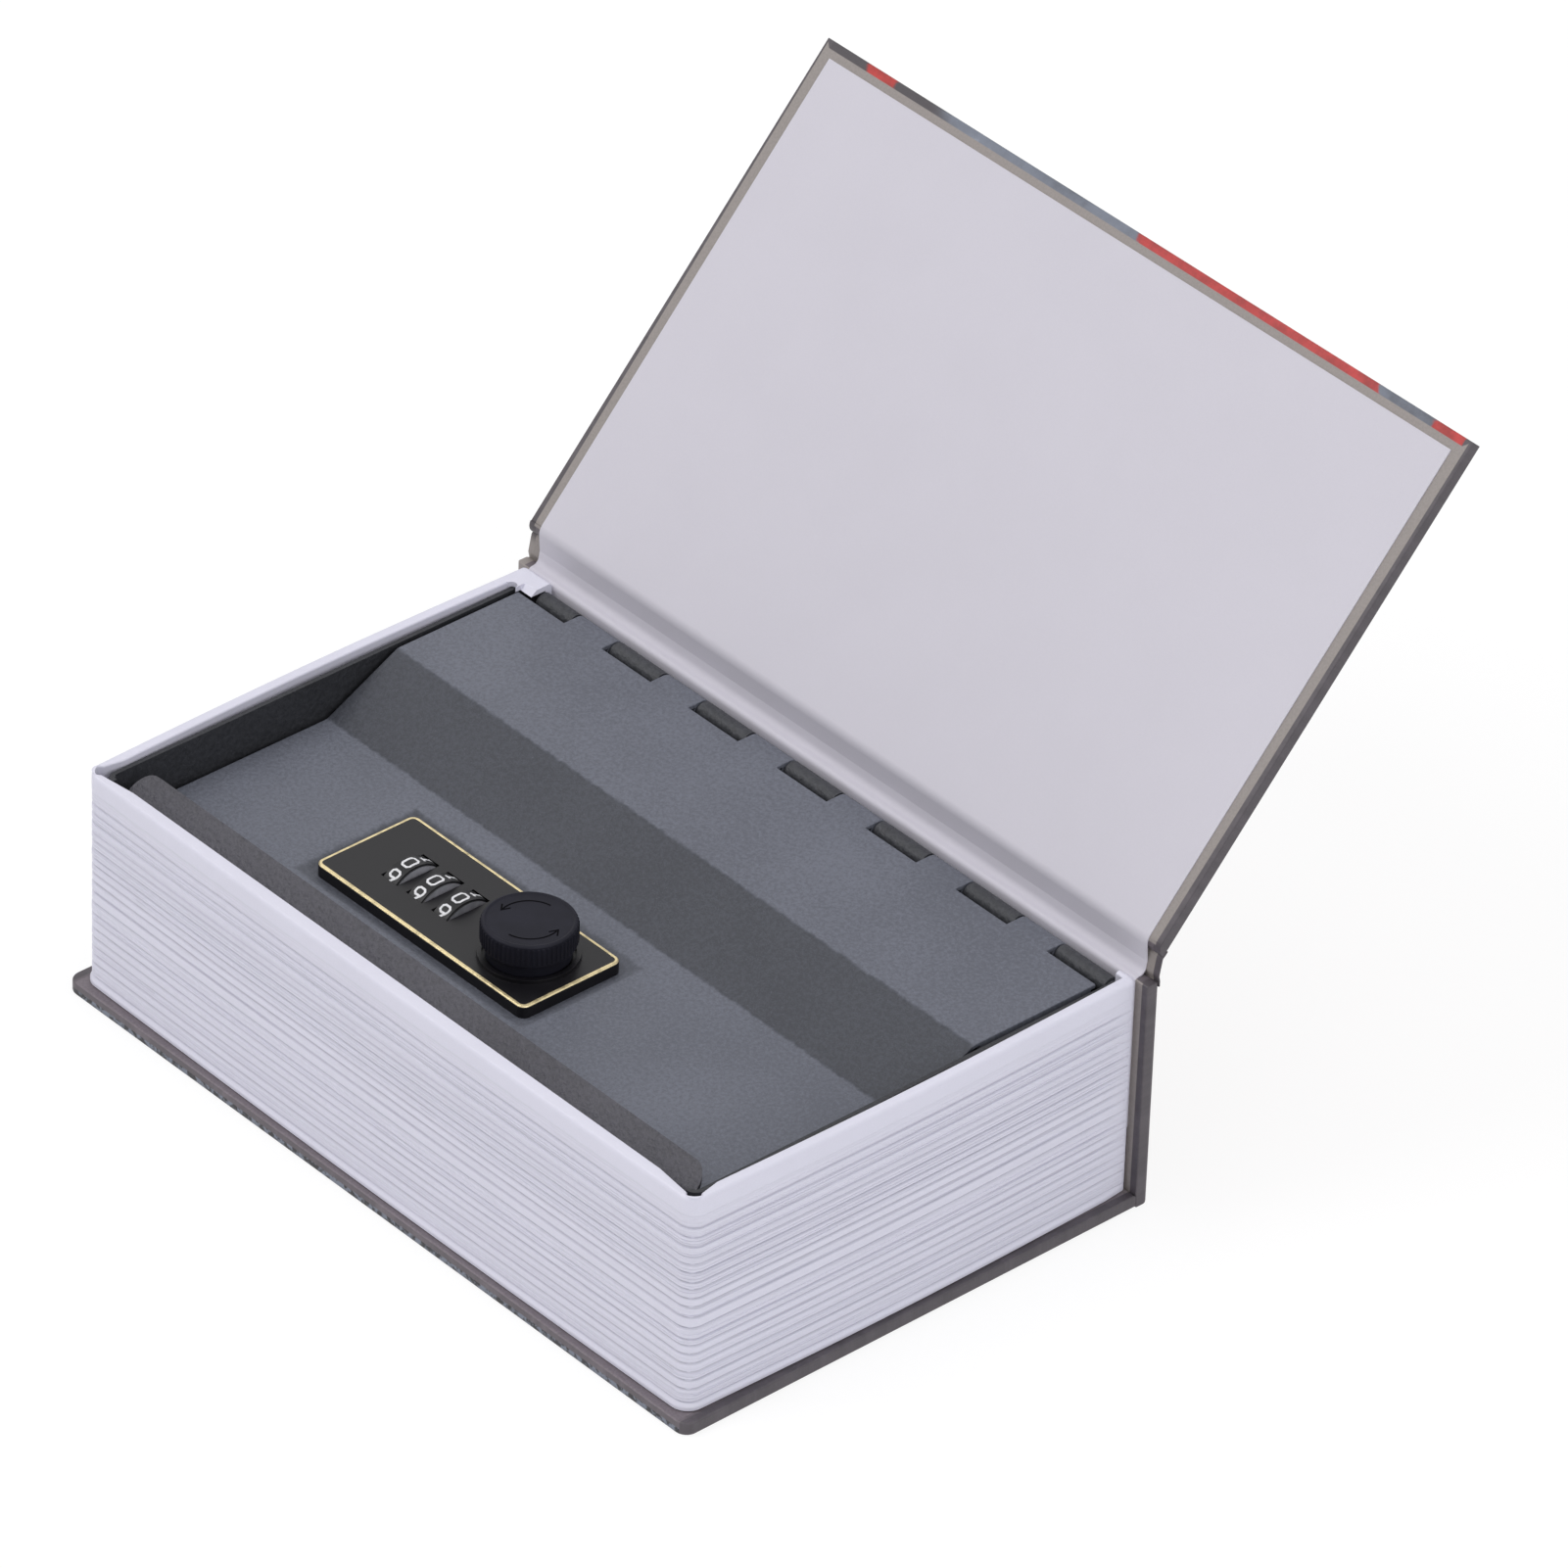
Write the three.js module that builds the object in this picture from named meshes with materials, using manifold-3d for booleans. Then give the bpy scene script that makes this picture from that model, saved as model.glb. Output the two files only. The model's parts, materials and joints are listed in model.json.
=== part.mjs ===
// Book diversion safe: a hardback book case round a ribbed page block, with a steel cash box inside.
// Millimetres and degrees. The book lies on its back cover at z = 0. X runs along the spine,
// the fore-edge faces -Y and the spine faces +Y. The front cover stands open and the steel lid is shut.
import * as THREE from "three";
import { mergeVertices } from "three/addons/utils/BufferGeometryUtils.js";
import Module from "manifold-3d";

const wasm = await Module();
wasm.setup();

// Book case
const bookLength = 180;
const bookDepth = 115;
const bookHeight = 55;
const boardThick = 2.3;
const spineBoardThick = 2.6;
const wrapThick = 0.3;
const paperThick = 0.25;
const turnIn = 12;
const endpaperMargin = 3.3;
const closedGap = 0.2;
const boardCornerGap = 0.3;
const backCornerRadius = 2.7;
const spineTopDrop = 0.55;

// Creased strip that joins the spine to the front board
const spineCreaseRise = 0.8;
const spineCreaseInset = 0.4;
const boardCreaseInset = 0.7;
const creaseGap = 0.25;
const stripClothOut = 0.1;
const stripClothIn = 0.25;
const linerOverlap = 2.25;
const linerDepth = 34;
const coverOpening = 132;
const stripLean = 80;

// Page block
const squareEnd = 2.5;
const squareFore = 2.2;
const blockRearGap = 0.05;
const blockWall = 2.5;
const blockForeWall = 2.7;
const blockRearWall = 1.6;
const blockCornerRadius = 3.6;
const blockRearRadius = 1.1;
const hollowCornerRadius = 1.2;
const endBow = 0.9;
const foreBow = 0.7;
const footFlare = 0.3;
const footHeight = 1.8;
const ribDepth = 0.75;
const ribCount = 13;
const plainTopBand = 7.5;
const plainRearBand = 5;
const ribFade = 1.2;
const ribMeanShare = 0.7;
const ribSwingShare = 0.3;
const ribSpreadShare = 2.4;
const rimRound = 0.7;
const rimStartShare = 0.25;
const rimNotchRadius = 1.9;
const rimNotchDepth = 2.6;
const rimCornerLength = 4.3;
const rimCornerDepth = 6.5;
const rimCornerGap = 0.1;
const rimCornerSideGap = 0.15;
const rimSlopeFoot = 2.85;
const rimSlopeTop = 1.5;

// Steel box
const boxGap = 0.2;
const boxSheet = 1;
const boxCornerRadius = 2.2;
const boxRimDrop = 1.25;
const wallCutInset = 1.4;
const flangeReach = 7.1;
const flangeBend = 4;
const flangeLean = 40;
const flangeTopDrop = 0.7;
const flangeEndGap = 3.8;
const flangeCornerRadius = 4;

// Hinge of the steel lid
const pinRadius = 0.8;
const pinHeadRadius = 1.35;
const pinHeadLength = 0.5;
const knuckleBore = 1.1;
const hingeEndGap = 0.85;
const boxKnuckleLength = 13.5;
const slotLength = 14.3;
const slotDepth = 3.5;
const knucklesEachSide = 3;
const hingeSetback = 0.6;
const wallClear = 0.4;

// Steel lid
const lidSheet = 0.9;
const lidSideGap = 1.2;
const lidTopDrop = 1.15;
const lidStep = 8.9;
const lowerPanelDepth = 44.7;
const slopeDepth = 17.4;
const lidBendRadius = 3;
const lidFrontGap = 0.9;
const lidCornerRadius = 3;
const lidFlangeDrop = 4.2;
const lidFlangeStart = 1.6;
const lidFlangeEnd = 4.6;
const recessDepth = 1.1;
const recessMargin = 3.2;
const recessFloorMargin = 0.6;
const recessCornerRadius = 3;

// Channel that the lid rests on and the cam hooks under
const channelHalf = 60;
const channelReach = 8.9;
const channelBend = 1.5;
const lidRestGap = 0.1;

// Lock plate
const plateX = -16;
const plateSetback = 23.7;
const plateLength = 60.5;
const plateWidth = 24.6;
const plateThick = 2.7;
const plateCornerRadius = 1.8;
const plateBevel = 0.3;
const lineInset = 0.55;
const lineWidth = 0.9;
const lineDepth = 0.35;
const lineProud = 0.05;
const seatGap = 0.05;

// Dials
const dialCount = 3;
const dialPitch = 7.3;
const firstDialOffset = -16.8;
const dialRadius = 7.3;
const dialProud = 1.8;
const dialWidth = 4.2;
const dialEdge = 0.3;
const dialGap = 0.3;
const digitsPerDial = 10;
const hubRadius = 4.4;
const hubNotch = 0.5;
const hubWidth = 1.9;
const axleRadius = 1.5;
const axleSeat = 1.2;
const axleGap = 0.1;

// Housing under the lid
const housingEndInset = 1.45;
const housingSideInset = 2;
const clampFlange = 1.6;
const clampGap = 0.1;
const clampMargin = 1.7;
const cavitySide = 7.9;
const cavityEnd = 1.1;
const cavityBottomGap = 0.6;
const housingHoleGap = 0.3;
const coverThick = 1.4;
const screwInsetX = 2.6;
const screwInsetY = 2.6;
const screwRadius = 1;
const screwHeadRadius = 2.1;
const screwFaceRadius = 1.7;
const screwHeadHeight = 1;
const screwGap = 0.3;
const screwBite = 1.5;
const springThick = 0.35;
const springFinger = 1.3;
const springBar = 1.3;

// Knob, spindle and cam
const knobOffset = 17.6;
const knobRadius = 9.35;
const knobGripHeight = 4.7;
const knobNeckTop = 8.6;
const knobNeckBottom = 8.3;
const knobHeight = 7.7;
const knobBevel = 0.4;
const knobRimFlat = 0.4;
const knobDishEdge = 0.4;
const knobDish = 0.25;
const knobTeeth = 48;
const knobToothDepth = 0.22;
const collarOuter = 9.9;
const collarInner = 8.9;
const collarHeight = 0.9;
const turnGap = 0.3;
const spindleRadius = 4;
const spindleIntoKnob = 5.4;
const spindleTailRadius = 2.5;
const camHubRadius = 6.4;
const camTipRadius = 4.2;
const camReach = 28;
const camThick = 1.5;
const camDrop = 1.5;
const washerRadius = 5.2;
const washerThick = 0.8;
const nutAcrossCorners = 9.2;
const nutThick = 3;
const tailPastNut = 0.8;

// Slide that sets a new combination
const leverOffset = 8.8;
const leverTravel = 4;
const leverStemX = 2.4;
const leverStemY = 4;
const leverPad = 3.6;
const leverPadHeight = 0.7;
const leverPlateX = 5.4;
const leverPlateY = 6;
const leverPlateThick = 1;

// Facets
const arcSteps = 4;
const roundSteps = 36;
const holeSteps = 16;
const bowSteps = 4;
const ribSteps = 3;
const hexSides = 6;
const overrun = 5;

// Finishes
const wrapFinish = finish(0x96918c, 0.6, 0);
const boardFinish = finish(0x77726d, 0.85, 0);
const paperFinish = finish(0xcfccd8, 0.75, 0);
const pageFinish = finish(0xdbd8e4, 0.55, 0);
const boxFinish = finish(0x4a4b50, 0.6, 0.3);
const lidFinish = finish(0x70747c, 0.55, 0.35);
const steelFinish = finish(0xb4b6ba, 0.35, 1);
const lockFinish = finish(0x2a292f, 0.4, 0);
const lineFinish = finish(0xcdb46e, 0.35, 0.6);
const dialFinish = finish(0x1c1c20, 0.4, 0);

// Places worked out from the sizes above
const endX = bookLength / 2;
const foreY = -bookDepth / 2;
const spineY = bookDepth / 2;
const boardTop = wrapThick + boardThick;
const turnTop = boardTop + wrapThick;
const backStack = turnTop + paperThick;
const rimZ = bookHeight - backStack - closedGap;
const spineOuter = spineY - wrapThick;
const spineInner = spineOuter - spineBoardThick;
const spineLining = spineInner - wrapThick;
const spineTop = rimZ - spineTopDrop;
const linerFront = spineLining - paperThick;
const linerTop = spineTop + paperThick;

const blockEnd = endX - squareEnd;
const blockFore = foreY + squareFore;
const blockRear = linerFront - blockRearGap;
const boxEnd = blockEnd - blockWall - boxGap;
const boxFront = blockFore + blockForeWall + boxGap;
const boxRear = blockRear - blockRearWall - boxGap;
const boxTop = rimZ - boxRimDrop;
const boxFloor = backStack + boxSheet;
const boxInnerEnd = boxEnd - boxSheet;
const boxInnerFront = boxFront + boxSheet;
const boxInnerRear = boxRear - boxSheet;

const lidTop = rimZ - lidTopDrop;
const lidHalf = boxInnerEnd - lidSideGap;
const knuckleRadius = knuckleBore + lidSheet;
const hingeY = boxRear - hingeSetback;
const hingeZ = lidTop - knuckleRadius;
const knucklePitch = (boxInnerEnd - hingeEndGap - boxKnuckleLength / 2) / knucklesEachSide;
const rearWallTop = hingeZ - knuckleRadius - wallClear;
const rimCornerX = -boxInnerEnd + rimCornerLength;
const firstKnuckleX = rimCornerX + turnGap;
const lowerTop = lidTop - lidStep;
const lowerBottom = lowerTop - lidSheet;
const flangeEdge = boxFront + flangeReach;
const lidFront = flangeEdge + lidFrontGap;
const lowerCrease = lidFront + lowerPanelDepth;
const upperCrease = lowerCrease + slopeDepth;
const flangeTop = rimZ - flangeTopDrop;
const flangeHalf = boxInnerEnd - flangeEndGap + wallCutInset;
const flangeTurn = THREE.MathUtils.degToRad(90 - flangeLean);
const flangeRise = flangeBend * Math.sin(flangeTurn)
  + (flangeReach - flangeBend * (1 - Math.cos(flangeTurn))) / Math.tan(flangeTurn);
const flangeRoot = flangeTop - flangeRise;

const plateY = lidFront + plateSetback;
const plateBottom = lowerTop - recessDepth;
const plateTop = plateBottom + plateThick;
const recessUnder = plateBottom - lidSheet;
const dialZ = plateTop + dialProud - dialRadius;
const housingHalfX = plateLength / 2 - housingEndInset;
const housingHalfY = plateWidth / 2 - housingSideInset;
const housingBottom = dialZ - dialRadius - cavityBottomGap;
const coverBottom = housingBottom - coverThick;
const camTop = coverBottom - camDrop;
const camBottom = camTop - camThick;
const knobX = plateX + knobOffset;
const knobBottom = plateTop + turnGap;
const leverX = knobX - leverOffset;
const leverY = plateY - leverTravel / 2;

const spineCrease = { y: spineY - spineCreaseInset, z: spineTop + spineCreaseRise };
const boardCrease = { y: spineInner - boardCreaseInset, z: bookHeight - wrapThick };
const stripLength = Math.hypot(boardCrease.y - spineCrease.y, boardCrease.z - spineCrease.z);
const stripAngle = THREE.MathUtils.degToRad(stripLean);
const frontRearEdge = boardCrease.y - boardCornerGap;

function finish(color, roughness, metalness) {
  return new THREE.MeshStandardMaterial({ color, roughness, metalness });
}

// A closed three.js geometry as a solid that can be joined and cut.
function solid(geometry) {
  geometry.deleteAttribute("normal");
  geometry.deleteAttribute("uv");
  const merged = mergeVertices(geometry);
  const vertProperties = new Float32Array(merged.attributes.position.array);
  const triVerts = new Uint32Array(merged.index.array);
  return new wasm.Manifold(new wasm.Mesh({ numProp: 3, vertProperties, triVerts }));
}

// A solid as a named mesh.
function piece(name, body, material) {
  const { vertProperties, triVerts } = body.getMesh();
  const geometry = new THREE.BufferGeometry();
  geometry.setAttribute("position", new THREE.BufferAttribute(vertProperties, 3));
  geometry.setIndex(new THREE.BufferAttribute(triVerts, 1));
  geometry.computeVertexNormals();
  const mesh = new THREE.Mesh(geometry, material);
  mesh.name = name;
  return mesh;
}

function block(x0, x1, y0, y1, z0, z1) {
  const geometry = new THREE.BoxGeometry();
  const corners = geometry.attributes.position;
  for (let i = 0; i < corners.count; i++) {
    const x = corners.getX(i) < 0 ? x0 : x1;
    const y = corners.getY(i) < 0 ? y0 : y1;
    corners.setXYZ(i, x, y, corners.getZ(i) < 0 ? z0 : z1);
  }
  return solid(geometry);
}

// A flat outline in X and Y, raised from z0 to z1.
function upright(shape, z0, z1, curveSegments = arcSteps) {
  const geometry = new THREE.ExtrudeGeometry(shape, { depth: z1 - z0, bevelEnabled: false, curveSegments });
  geometry.translate(0, 0, z0);
  return solid(geometry);
}

// A closed outline of [y, z] points, run along X.
function alongX(outline, x0, x1) {
  const shape = new THREE.Shape(outline.map(([y, z]) => new THREE.Vector2(y, z)));
  const geometry = new THREE.ExtrudeGeometry(shape, { depth: x1 - x0, bevelEnabled: false });
  geometry.applyMatrix4(new THREE.Matrix4().set(0, 0, 1, x0, 1, 0, 0, 0, 0, 1, 0, 0, 0, 0, 0, 1));
  return solid(geometry);
}

function postZ(radius, x, y, z0, z1, steps = holeSteps) {
  const geometry = new THREE.CylinderGeometry(radius, radius, z1 - z0, steps);
  geometry.rotateX(Math.PI / 2);
  geometry.translate(x, y, (z0 + z1) / 2);
  return solid(geometry);
}

function rodX(radius, x0, x1, y, z, steps = holeSteps) {
  const geometry = new THREE.CylinderGeometry(radius, radius, x1 - x0, steps);
  geometry.rotateZ(Math.PI / 2);
  geometry.translate((x0 + x1) / 2, y, z);
  return solid(geometry);
}

// A profile of [radius, z] points that starts and ends on the axis, turned about Z.
function turned(profile, x, y, steps = roundSteps) {
  const geometry = new THREE.LatheGeometry(profile.map(([r, z]) => new THREE.Vector2(r, z)), steps);
  geometry.rotateX(Math.PI / 2);
  geometry.translate(x, y, 0);
  return solid(geometry);
}

function roundedRect(x0, x1, y0, y1, frontRadius, rearRadius = frontRadius) {
  const shape = new THREE.Shape();
  shape.moveTo(x0 + frontRadius, y0);
  shape.lineTo(x1 - frontRadius, y0);
  shape.absarc(x1 - frontRadius, y0 + frontRadius, frontRadius, -Math.PI / 2, 0, false);
  shape.lineTo(x1, y1 - rearRadius);
  shape.absarc(x1 - rearRadius, y1 - rearRadius, rearRadius, 0, Math.PI / 2, false);
  shape.lineTo(x0 + rearRadius, y1);
  shape.absarc(x0 + rearRadius, y1 - rearRadius, rearRadius, Math.PI / 2, Math.PI, false);
  shape.lineTo(x0, y0 + frontRadius);
  shape.absarc(x0 + frontRadius, y0 + frontRadius, frontRadius, Math.PI, -Math.PI / 2, false);
  return shape;
}

function plateRect(grow, radius) {
  const halfX = plateLength / 2 + grow;
  const halfY = plateWidth / 2 + grow;
  return roundedRect(plateX - halfX, plateX + halfX, plateY - halfY, plateY + halfY, radius);
}

// Rings of equal point counts, each at its own height, skinned into one closed body.
function loft(rings) {
  const count = rings[0].points.length;
  const positions = rings.flatMap(({ points, z }) => points.flatMap((p) => [p.x, p.y, z]));
  const faces = [];
  for (let level = 0; level + 1 < rings.length; level++) {
    for (let i = 0; i < count; i++) {
      const a = level * count + i;
      const b = level * count + ((i + 1) % count);
      faces.push(a, b, b + count, a, b + count, a + count);
    }
  }
  const top = (rings.length - 1) * count;
  for (const [a, b, c] of THREE.ShapeUtils.triangulateShape(rings[0].points, [])) {
    faces.push(a, c, b);
  }
  for (const [a, b, c] of THREE.ShapeUtils.triangulateShape(rings.at(-1).points, [])) {
    faces.push(top + a, top + b, top + c);
  }
  const geometry = new THREE.BufferGeometry();
  geometry.setAttribute("position", new THREE.Float32BufferAttribute(positions, 3));
  geometry.setIndex(faces);
  return solid(geometry);
}

// The plate's outline grown by one margin at the bottom and another at the top.
function plateTaper(lowGrow, lowRadius, z0, highGrow, highRadius, z1) {
  const ring = (grow, radius, z) => ({ points: outlinePoints(plateRect(grow, radius)), z });
  return loft([ring(lowGrow, lowRadius, z0), ring(highGrow, highRadius, z1)]);
}

function outlinePoints(shape) {
  const points = shape.getPoints(arcSteps);
  if (points[0].distanceTo(points.at(-1)) < seatGap) points.pop();
  return points;
}

// A bend of the given radius at every inner corner of a path of [y, z] points.
function bent(path, radius) {
  const points = path.map(([y, z]) => new THREE.Vector2(y, z));
  const result = [points[0]];
  for (let i = 1; i + 1 < points.length; i++) {
    const before = points[i - 1].clone().sub(points[i]).normalize();
    const after = points[i + 1].clone().sub(points[i]).normalize();
    const half = Math.acos(before.dot(after)) / 2;
    const reach = radius / Math.tan(half);
    const start = points[i].clone().addScaledVector(before, reach);
    const end = points[i].clone().addScaledVector(after, reach);
    const centre = before.clone().add(after).normalize();
    centre.multiplyScalar(radius / Math.sin(half)).add(points[i]);
    const from = start.clone().sub(centre).angle();
    let sweep = end.clone().sub(centre).angle() - from;
    if (sweep > Math.PI) sweep -= 2 * Math.PI;
    if (sweep < -Math.PI) sweep += 2 * Math.PI;
    for (let step = 0; step <= arcSteps; step++) {
      const angle = from + sweep * step / arcSteps;
      result.push(new THREE.Vector2(Math.cos(angle), Math.sin(angle)).multiplyScalar(radius).add(centre));
    }
  }
  result.push(points.at(-1));
  return result;
}

// A sheet of one thickness whose face follows a path, with the metal on the path's left.
function sheet(path, thick, x0, x1) {
  const normals = path.slice(1).map((p, i) => {
    const along = p.clone().sub(path[i]).normalize();
    return new THREE.Vector2(-along.y, along.x);
  });
  const other = path.map((p, i) => {
    const a = normals[Math.max(i - 1, 0)];
    const b = normals[Math.min(i, normals.length - 1)];
    const mid = a.clone().add(b).normalize();
    return p.clone().addScaledVector(mid, thick / mid.dot(a));
  });
  const outline = [...path, ...other.reverse()].map((p) => [p.x, p.y]);
  if (THREE.ShapeUtils.area(outline.map(([y, z]) => new THREE.Vector2(y, z))) < 0) outline.reverse();
  return alongX(outline, x0, x1);
}

// Book case: boards, printed wrap and papers

// A flat layer of one cover, set in from its edges. With a radius, both fore-edge corners are rounded.
// A board's own corners are a little rounder than the wrap's hollow, so the two never cross.
function coverLayer(inset, rear, radius, z0, z1) {
  const end = endX - inset;
  const layer = block(-end, end, foreY + inset, rear, z0, z1);
  if (radius <= 0) return layer;
  const plan = roundedRect(-end, end, foreY + inset, spineY + overrun, radius);
  return layer.intersect(upright(plan, z0 - overrun, z1 + overrun));
}

function backBoard() {
  const rear = spineInner - boardCornerGap;
  return piece("back_board", coverLayer(wrapThick, rear, backCornerRadius, wrapThick, boardTop), boardFinish);
}

function spineBoard() {
  const end = endX - wrapThick;
  return piece("spine_board", block(-end, end, spineInner, spineOuter, wrapThick, spineTop), boardFinish);
}

// The wrap's cover over one board: outer face, three edges and the turn-ins on the inner face.
function boardWrap(rear, radius, z0, z1, boardZ0, boardZ1) {
  const layer = (low, high) => coverLayer(0, rear, radius, low, high);
  const hollow = coverLayer(wrapThick, rear, radius - wrapThick, boardZ0, boardZ1);
  const edges = layer(boardZ0, boardZ1).subtract(hollow);
  const end = endX - turnIn;
  const window = block(-end, end, foreY + turnIn, rear + overrun, z0 - overrun, z1 + overrun);
  const [outer, folded] = z0 === 0
    ? [layer(z0, boardZ0), layer(boardZ1, z1)]
    : [layer(boardZ1, z1), layer(z0, boardZ0)];
  return outer.add(edges).add(folded.subtract(window));
}

function backWrap() {
  const wrap = boardWrap(spineLining, backCornerRadius, 0, turnTop, wrapThick, boardTop);
  return piece("back_wrap", wrap.add(coverLayer(0, spineY, backCornerRadius, 0, wrapThick)), wrapFinish);
}

// The same wrap where it goes up the spine, folded in round both ends of the spine board.
function spineWrap() {
  const edge = endX - wrapThick;
  const fold = endX - turnIn;
  const half = [
    [edge, spineOuter],
    [edge, spineInner],
    [fold, spineInner],
    [fold, spineLining],
    [endX, spineLining],
    [endX, spineY],
  ];
  const outline = [...half, ...half.map(([x, y]) => [-x, y]).reverse()];
  const shape = new THREE.Shape(outline.map(([x, y]) => new THREE.Vector2(x, y)));
  return piece("spine_wrap", upright(shape, wrapThick, spineTop), wrapFinish);
}

// A paper glued over the turn-ins, stepped down onto the board between them.
function endpaper(rear, paperZ0, paperZ1, stepZ0, stepZ1) {
  const end = endX - endpaperMargin;
  const inner = endX - turnIn - seatGap;
  const paper = block(-end, end, foreY + endpaperMargin, rear, paperZ0, paperZ1);
  return paper.add(block(-inner, inner, foreY + turnIn + seatGap, rear, stepZ0, stepZ1));
}

// The lower endpaper, with its corners rounded so that the page block covers them.
function backEndpaper() {
  const rear = linerFront - seatGap;
  const paper = endpaper(rear, turnTop, backStack, boardTop, turnTop);
  const outline = coverLayer(endpaperMargin, rear, blockCornerRadius, boardTop, backStack);
  return piece("back_endpaper", paper.intersect(outline), paperFinish);
}

// The paper that runs down inside the spine, behind the lid's hinge, and folds over the spine's top.
function hingeLiner() {
  const end = endX - endpaperMargin;
  let liner = block(-end, end, linerFront, spineLining, spineTop - linerDepth, linerTop);
  liner = liner.add(block(-end, end, linerFront, linerFront + linerOverlap, spineTop, linerTop));
  return piece("hinge_liner", liner, paperFinish);
}

// The two layers between the creases. Here Y runs from crease to crease and Z faces into the book.
function jointStrip() {
  const strip = new THREE.Group();
  const paperEnd = endX - endpaperMargin;
  const far = stripLength - creaseGap;
  const cloth = block(-endX, endX, creaseGap, far, -stripClothOut, stripClothIn);
  const paper = block(-paperEnd, paperEnd, creaseGap, far, stripClothIn, stripClothIn + paperThick);
  strip.add(piece("joint_cloth", cloth, wrapFinish));
  strip.add(piece("joint_paper", paper, paperFinish));
  strip.position.set(0, spineCrease.y, spineCrease.z);
  strip.rotation.x = stripAngle;
  return strip;
}

// The front cover, drawn shut and swung about its crease to where it stands open.
function frontCover() {
  const shut = new THREE.Group();
  const outer = bookHeight - wrapThick;
  const inner = outer - boardThick;
  const fold = inner - wrapThick;
  const board = coverLayer(wrapThick, frontRearEdge, 0, inner, outer);
  const wrap = boardWrap(frontRearEdge, 0, fold, bookHeight, inner, outer);
  const paper = endpaper(frontRearEdge, fold - paperThick, fold, fold, inner);
  shut.add(piece("front_board", board, boardFinish));
  shut.add(piece("front_wrap", wrap, wrapFinish));
  shut.add(piece("front_endpaper", paper, paperFinish));
  shut.position.set(0, -boardCrease.y, -boardCrease.z);
  const swung = new THREE.Group();
  swung.add(shut);
  swung.position.set(
    0,
    spineCrease.y + stripLength * Math.cos(stripAngle),
    spineCrease.z + stripLength * Math.sin(stripAngle),
  );
  swung.rotation.x = -THREE.MathUtils.degToRad(coverOpening);
  return swung;
}

// Page block: a moulded frame with bowed ends, ribs on three sides and a cut-out behind the lid

// A straight or bowed run of outline points between two corners, with their outward direction.
function bowedRun(from, to, out, bow) {
  const points = [];
  for (let step = 1; step < bowSteps; step++) {
    const share = step / bowSteps;
    const at = from.clone().lerp(to, share).addScaledVector(out, bow * Math.sin(Math.PI * share));
    points.push({ at, out });
  }
  return points;
}

function cornerRun(x, y, radius, start) {
  return Array.from({ length: arcSteps + 1 }, (_, step) => {
    const angle = start + Math.PI / 2 * step / arcSteps;
    const out = new THREE.Vector2(Math.cos(angle), Math.sin(angle));
    return { at: out.clone().multiplyScalar(radius).add(new THREE.Vector2(x, y)), out };
  });
}

// An outline of the block with its outward directions. The ends bow as far as the plain rear band.
function blockOutline({ halfX, front, rear, frontRadius, rearRadius, bow }) {
  const frontX = halfX - frontRadius;
  const rearX = halfX - rearRadius;
  const frontY = front + frontRadius;
  const rearY = rear - rearRadius;
  const bandY = rearY - plainRearBand;
  const side = (x, from, to) => bowedRun(
    new THREE.Vector2(x, from), new THREE.Vector2(x, to), new THREE.Vector2(Math.sign(x), 0), endBow);
  return [
    ...cornerRun(frontX, frontY, frontRadius, -Math.PI / 2),
    ...side(halfX, frontY, bandY),
    ...cornerRun(rearX, rearY, rearRadius, 0),
    ...cornerRun(-rearX, rearY, rearRadius, Math.PI / 2),
    ...side(-halfX, bandY, frontY),
    ...cornerRun(-frontX, frontY, frontRadius, Math.PI),
    ...bowedRun(
      new THREE.Vector2(-frontX, front), new THREE.Vector2(frontX, front), new THREE.Vector2(0, -1), bow),
  ];
}

function ribShare(y) {
  const bandStart = blockRear - plainRearBand;
  return THREE.MathUtils.clamp((bandStart - y) / ribFade, 0, 1);
}

// How far the outer face stands in at each height: foot, ribs of uneven depth, plain band and rim.
function blockLevels() {
  const ribBottom = backStack + footHeight;
  const ribTop = rimZ - plainTopBand;
  const levels = [
    { z: backStack, all: 0, ribs: footFlare },
    { z: backStack + footHeight / 2, all: 0, ribs: footFlare },
    { z: ribBottom, all: 0, ribs: 0 },
  ];
  for (let step = 1; step <= ribCount * ribSteps; step++) {
    const turn = step / ribSteps;
    const uneven = ribMeanShare + ribSwingShare * Math.sin(ribSpreadShare * Math.floor(turn));
    const wave = (1 - Math.cos(2 * Math.PI * turn)) / 2;
    const z = ribBottom + (ribTop - ribBottom) * turn / ribCount;
    levels.push({ z, all: 0, ribs: -ribDepth * uneven * wave });
  }
  levels.push({ z: rimZ - rimRound, all: 0, ribs: 0 });
  levels.push({ z: rimZ - rimRound * rimStartShare, all: -rimRound * rimStartShare, ribs: 0 });
  levels.push({ z: rimZ, all: -rimRound, ribs: 0 });
  return levels;
}

function blockFrame() {
  const outer = blockOutline({
    halfX: blockEnd,
    front: blockFore,
    rear: blockRear,
    frontRadius: blockCornerRadius,
    rearRadius: blockRearRadius,
    bow: foreBow,
  });
  const rings = blockLevels().map(({ z, all, ribs }) => ({
    z,
    points: outer.map(({ at, out }) => at.clone().addScaledVector(out, all + ribs * ribShare(at.y))),
  }));
  const hollow = blockOutline({
    halfX: blockEnd - blockWall,
    front: blockFore + blockForeWall,
    rear: blockRear - blockRearWall,
    frontRadius: hollowCornerRadius,
    rearRadius: hollowCornerRadius,
    bow: 0,
  }).map(({ at }) => at);
  return loft(rings).subtract(loft([
    { z: backStack - overrun, points: hollow },
    { z: rimZ + overrun, points: hollow },
  ]));
}

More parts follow.
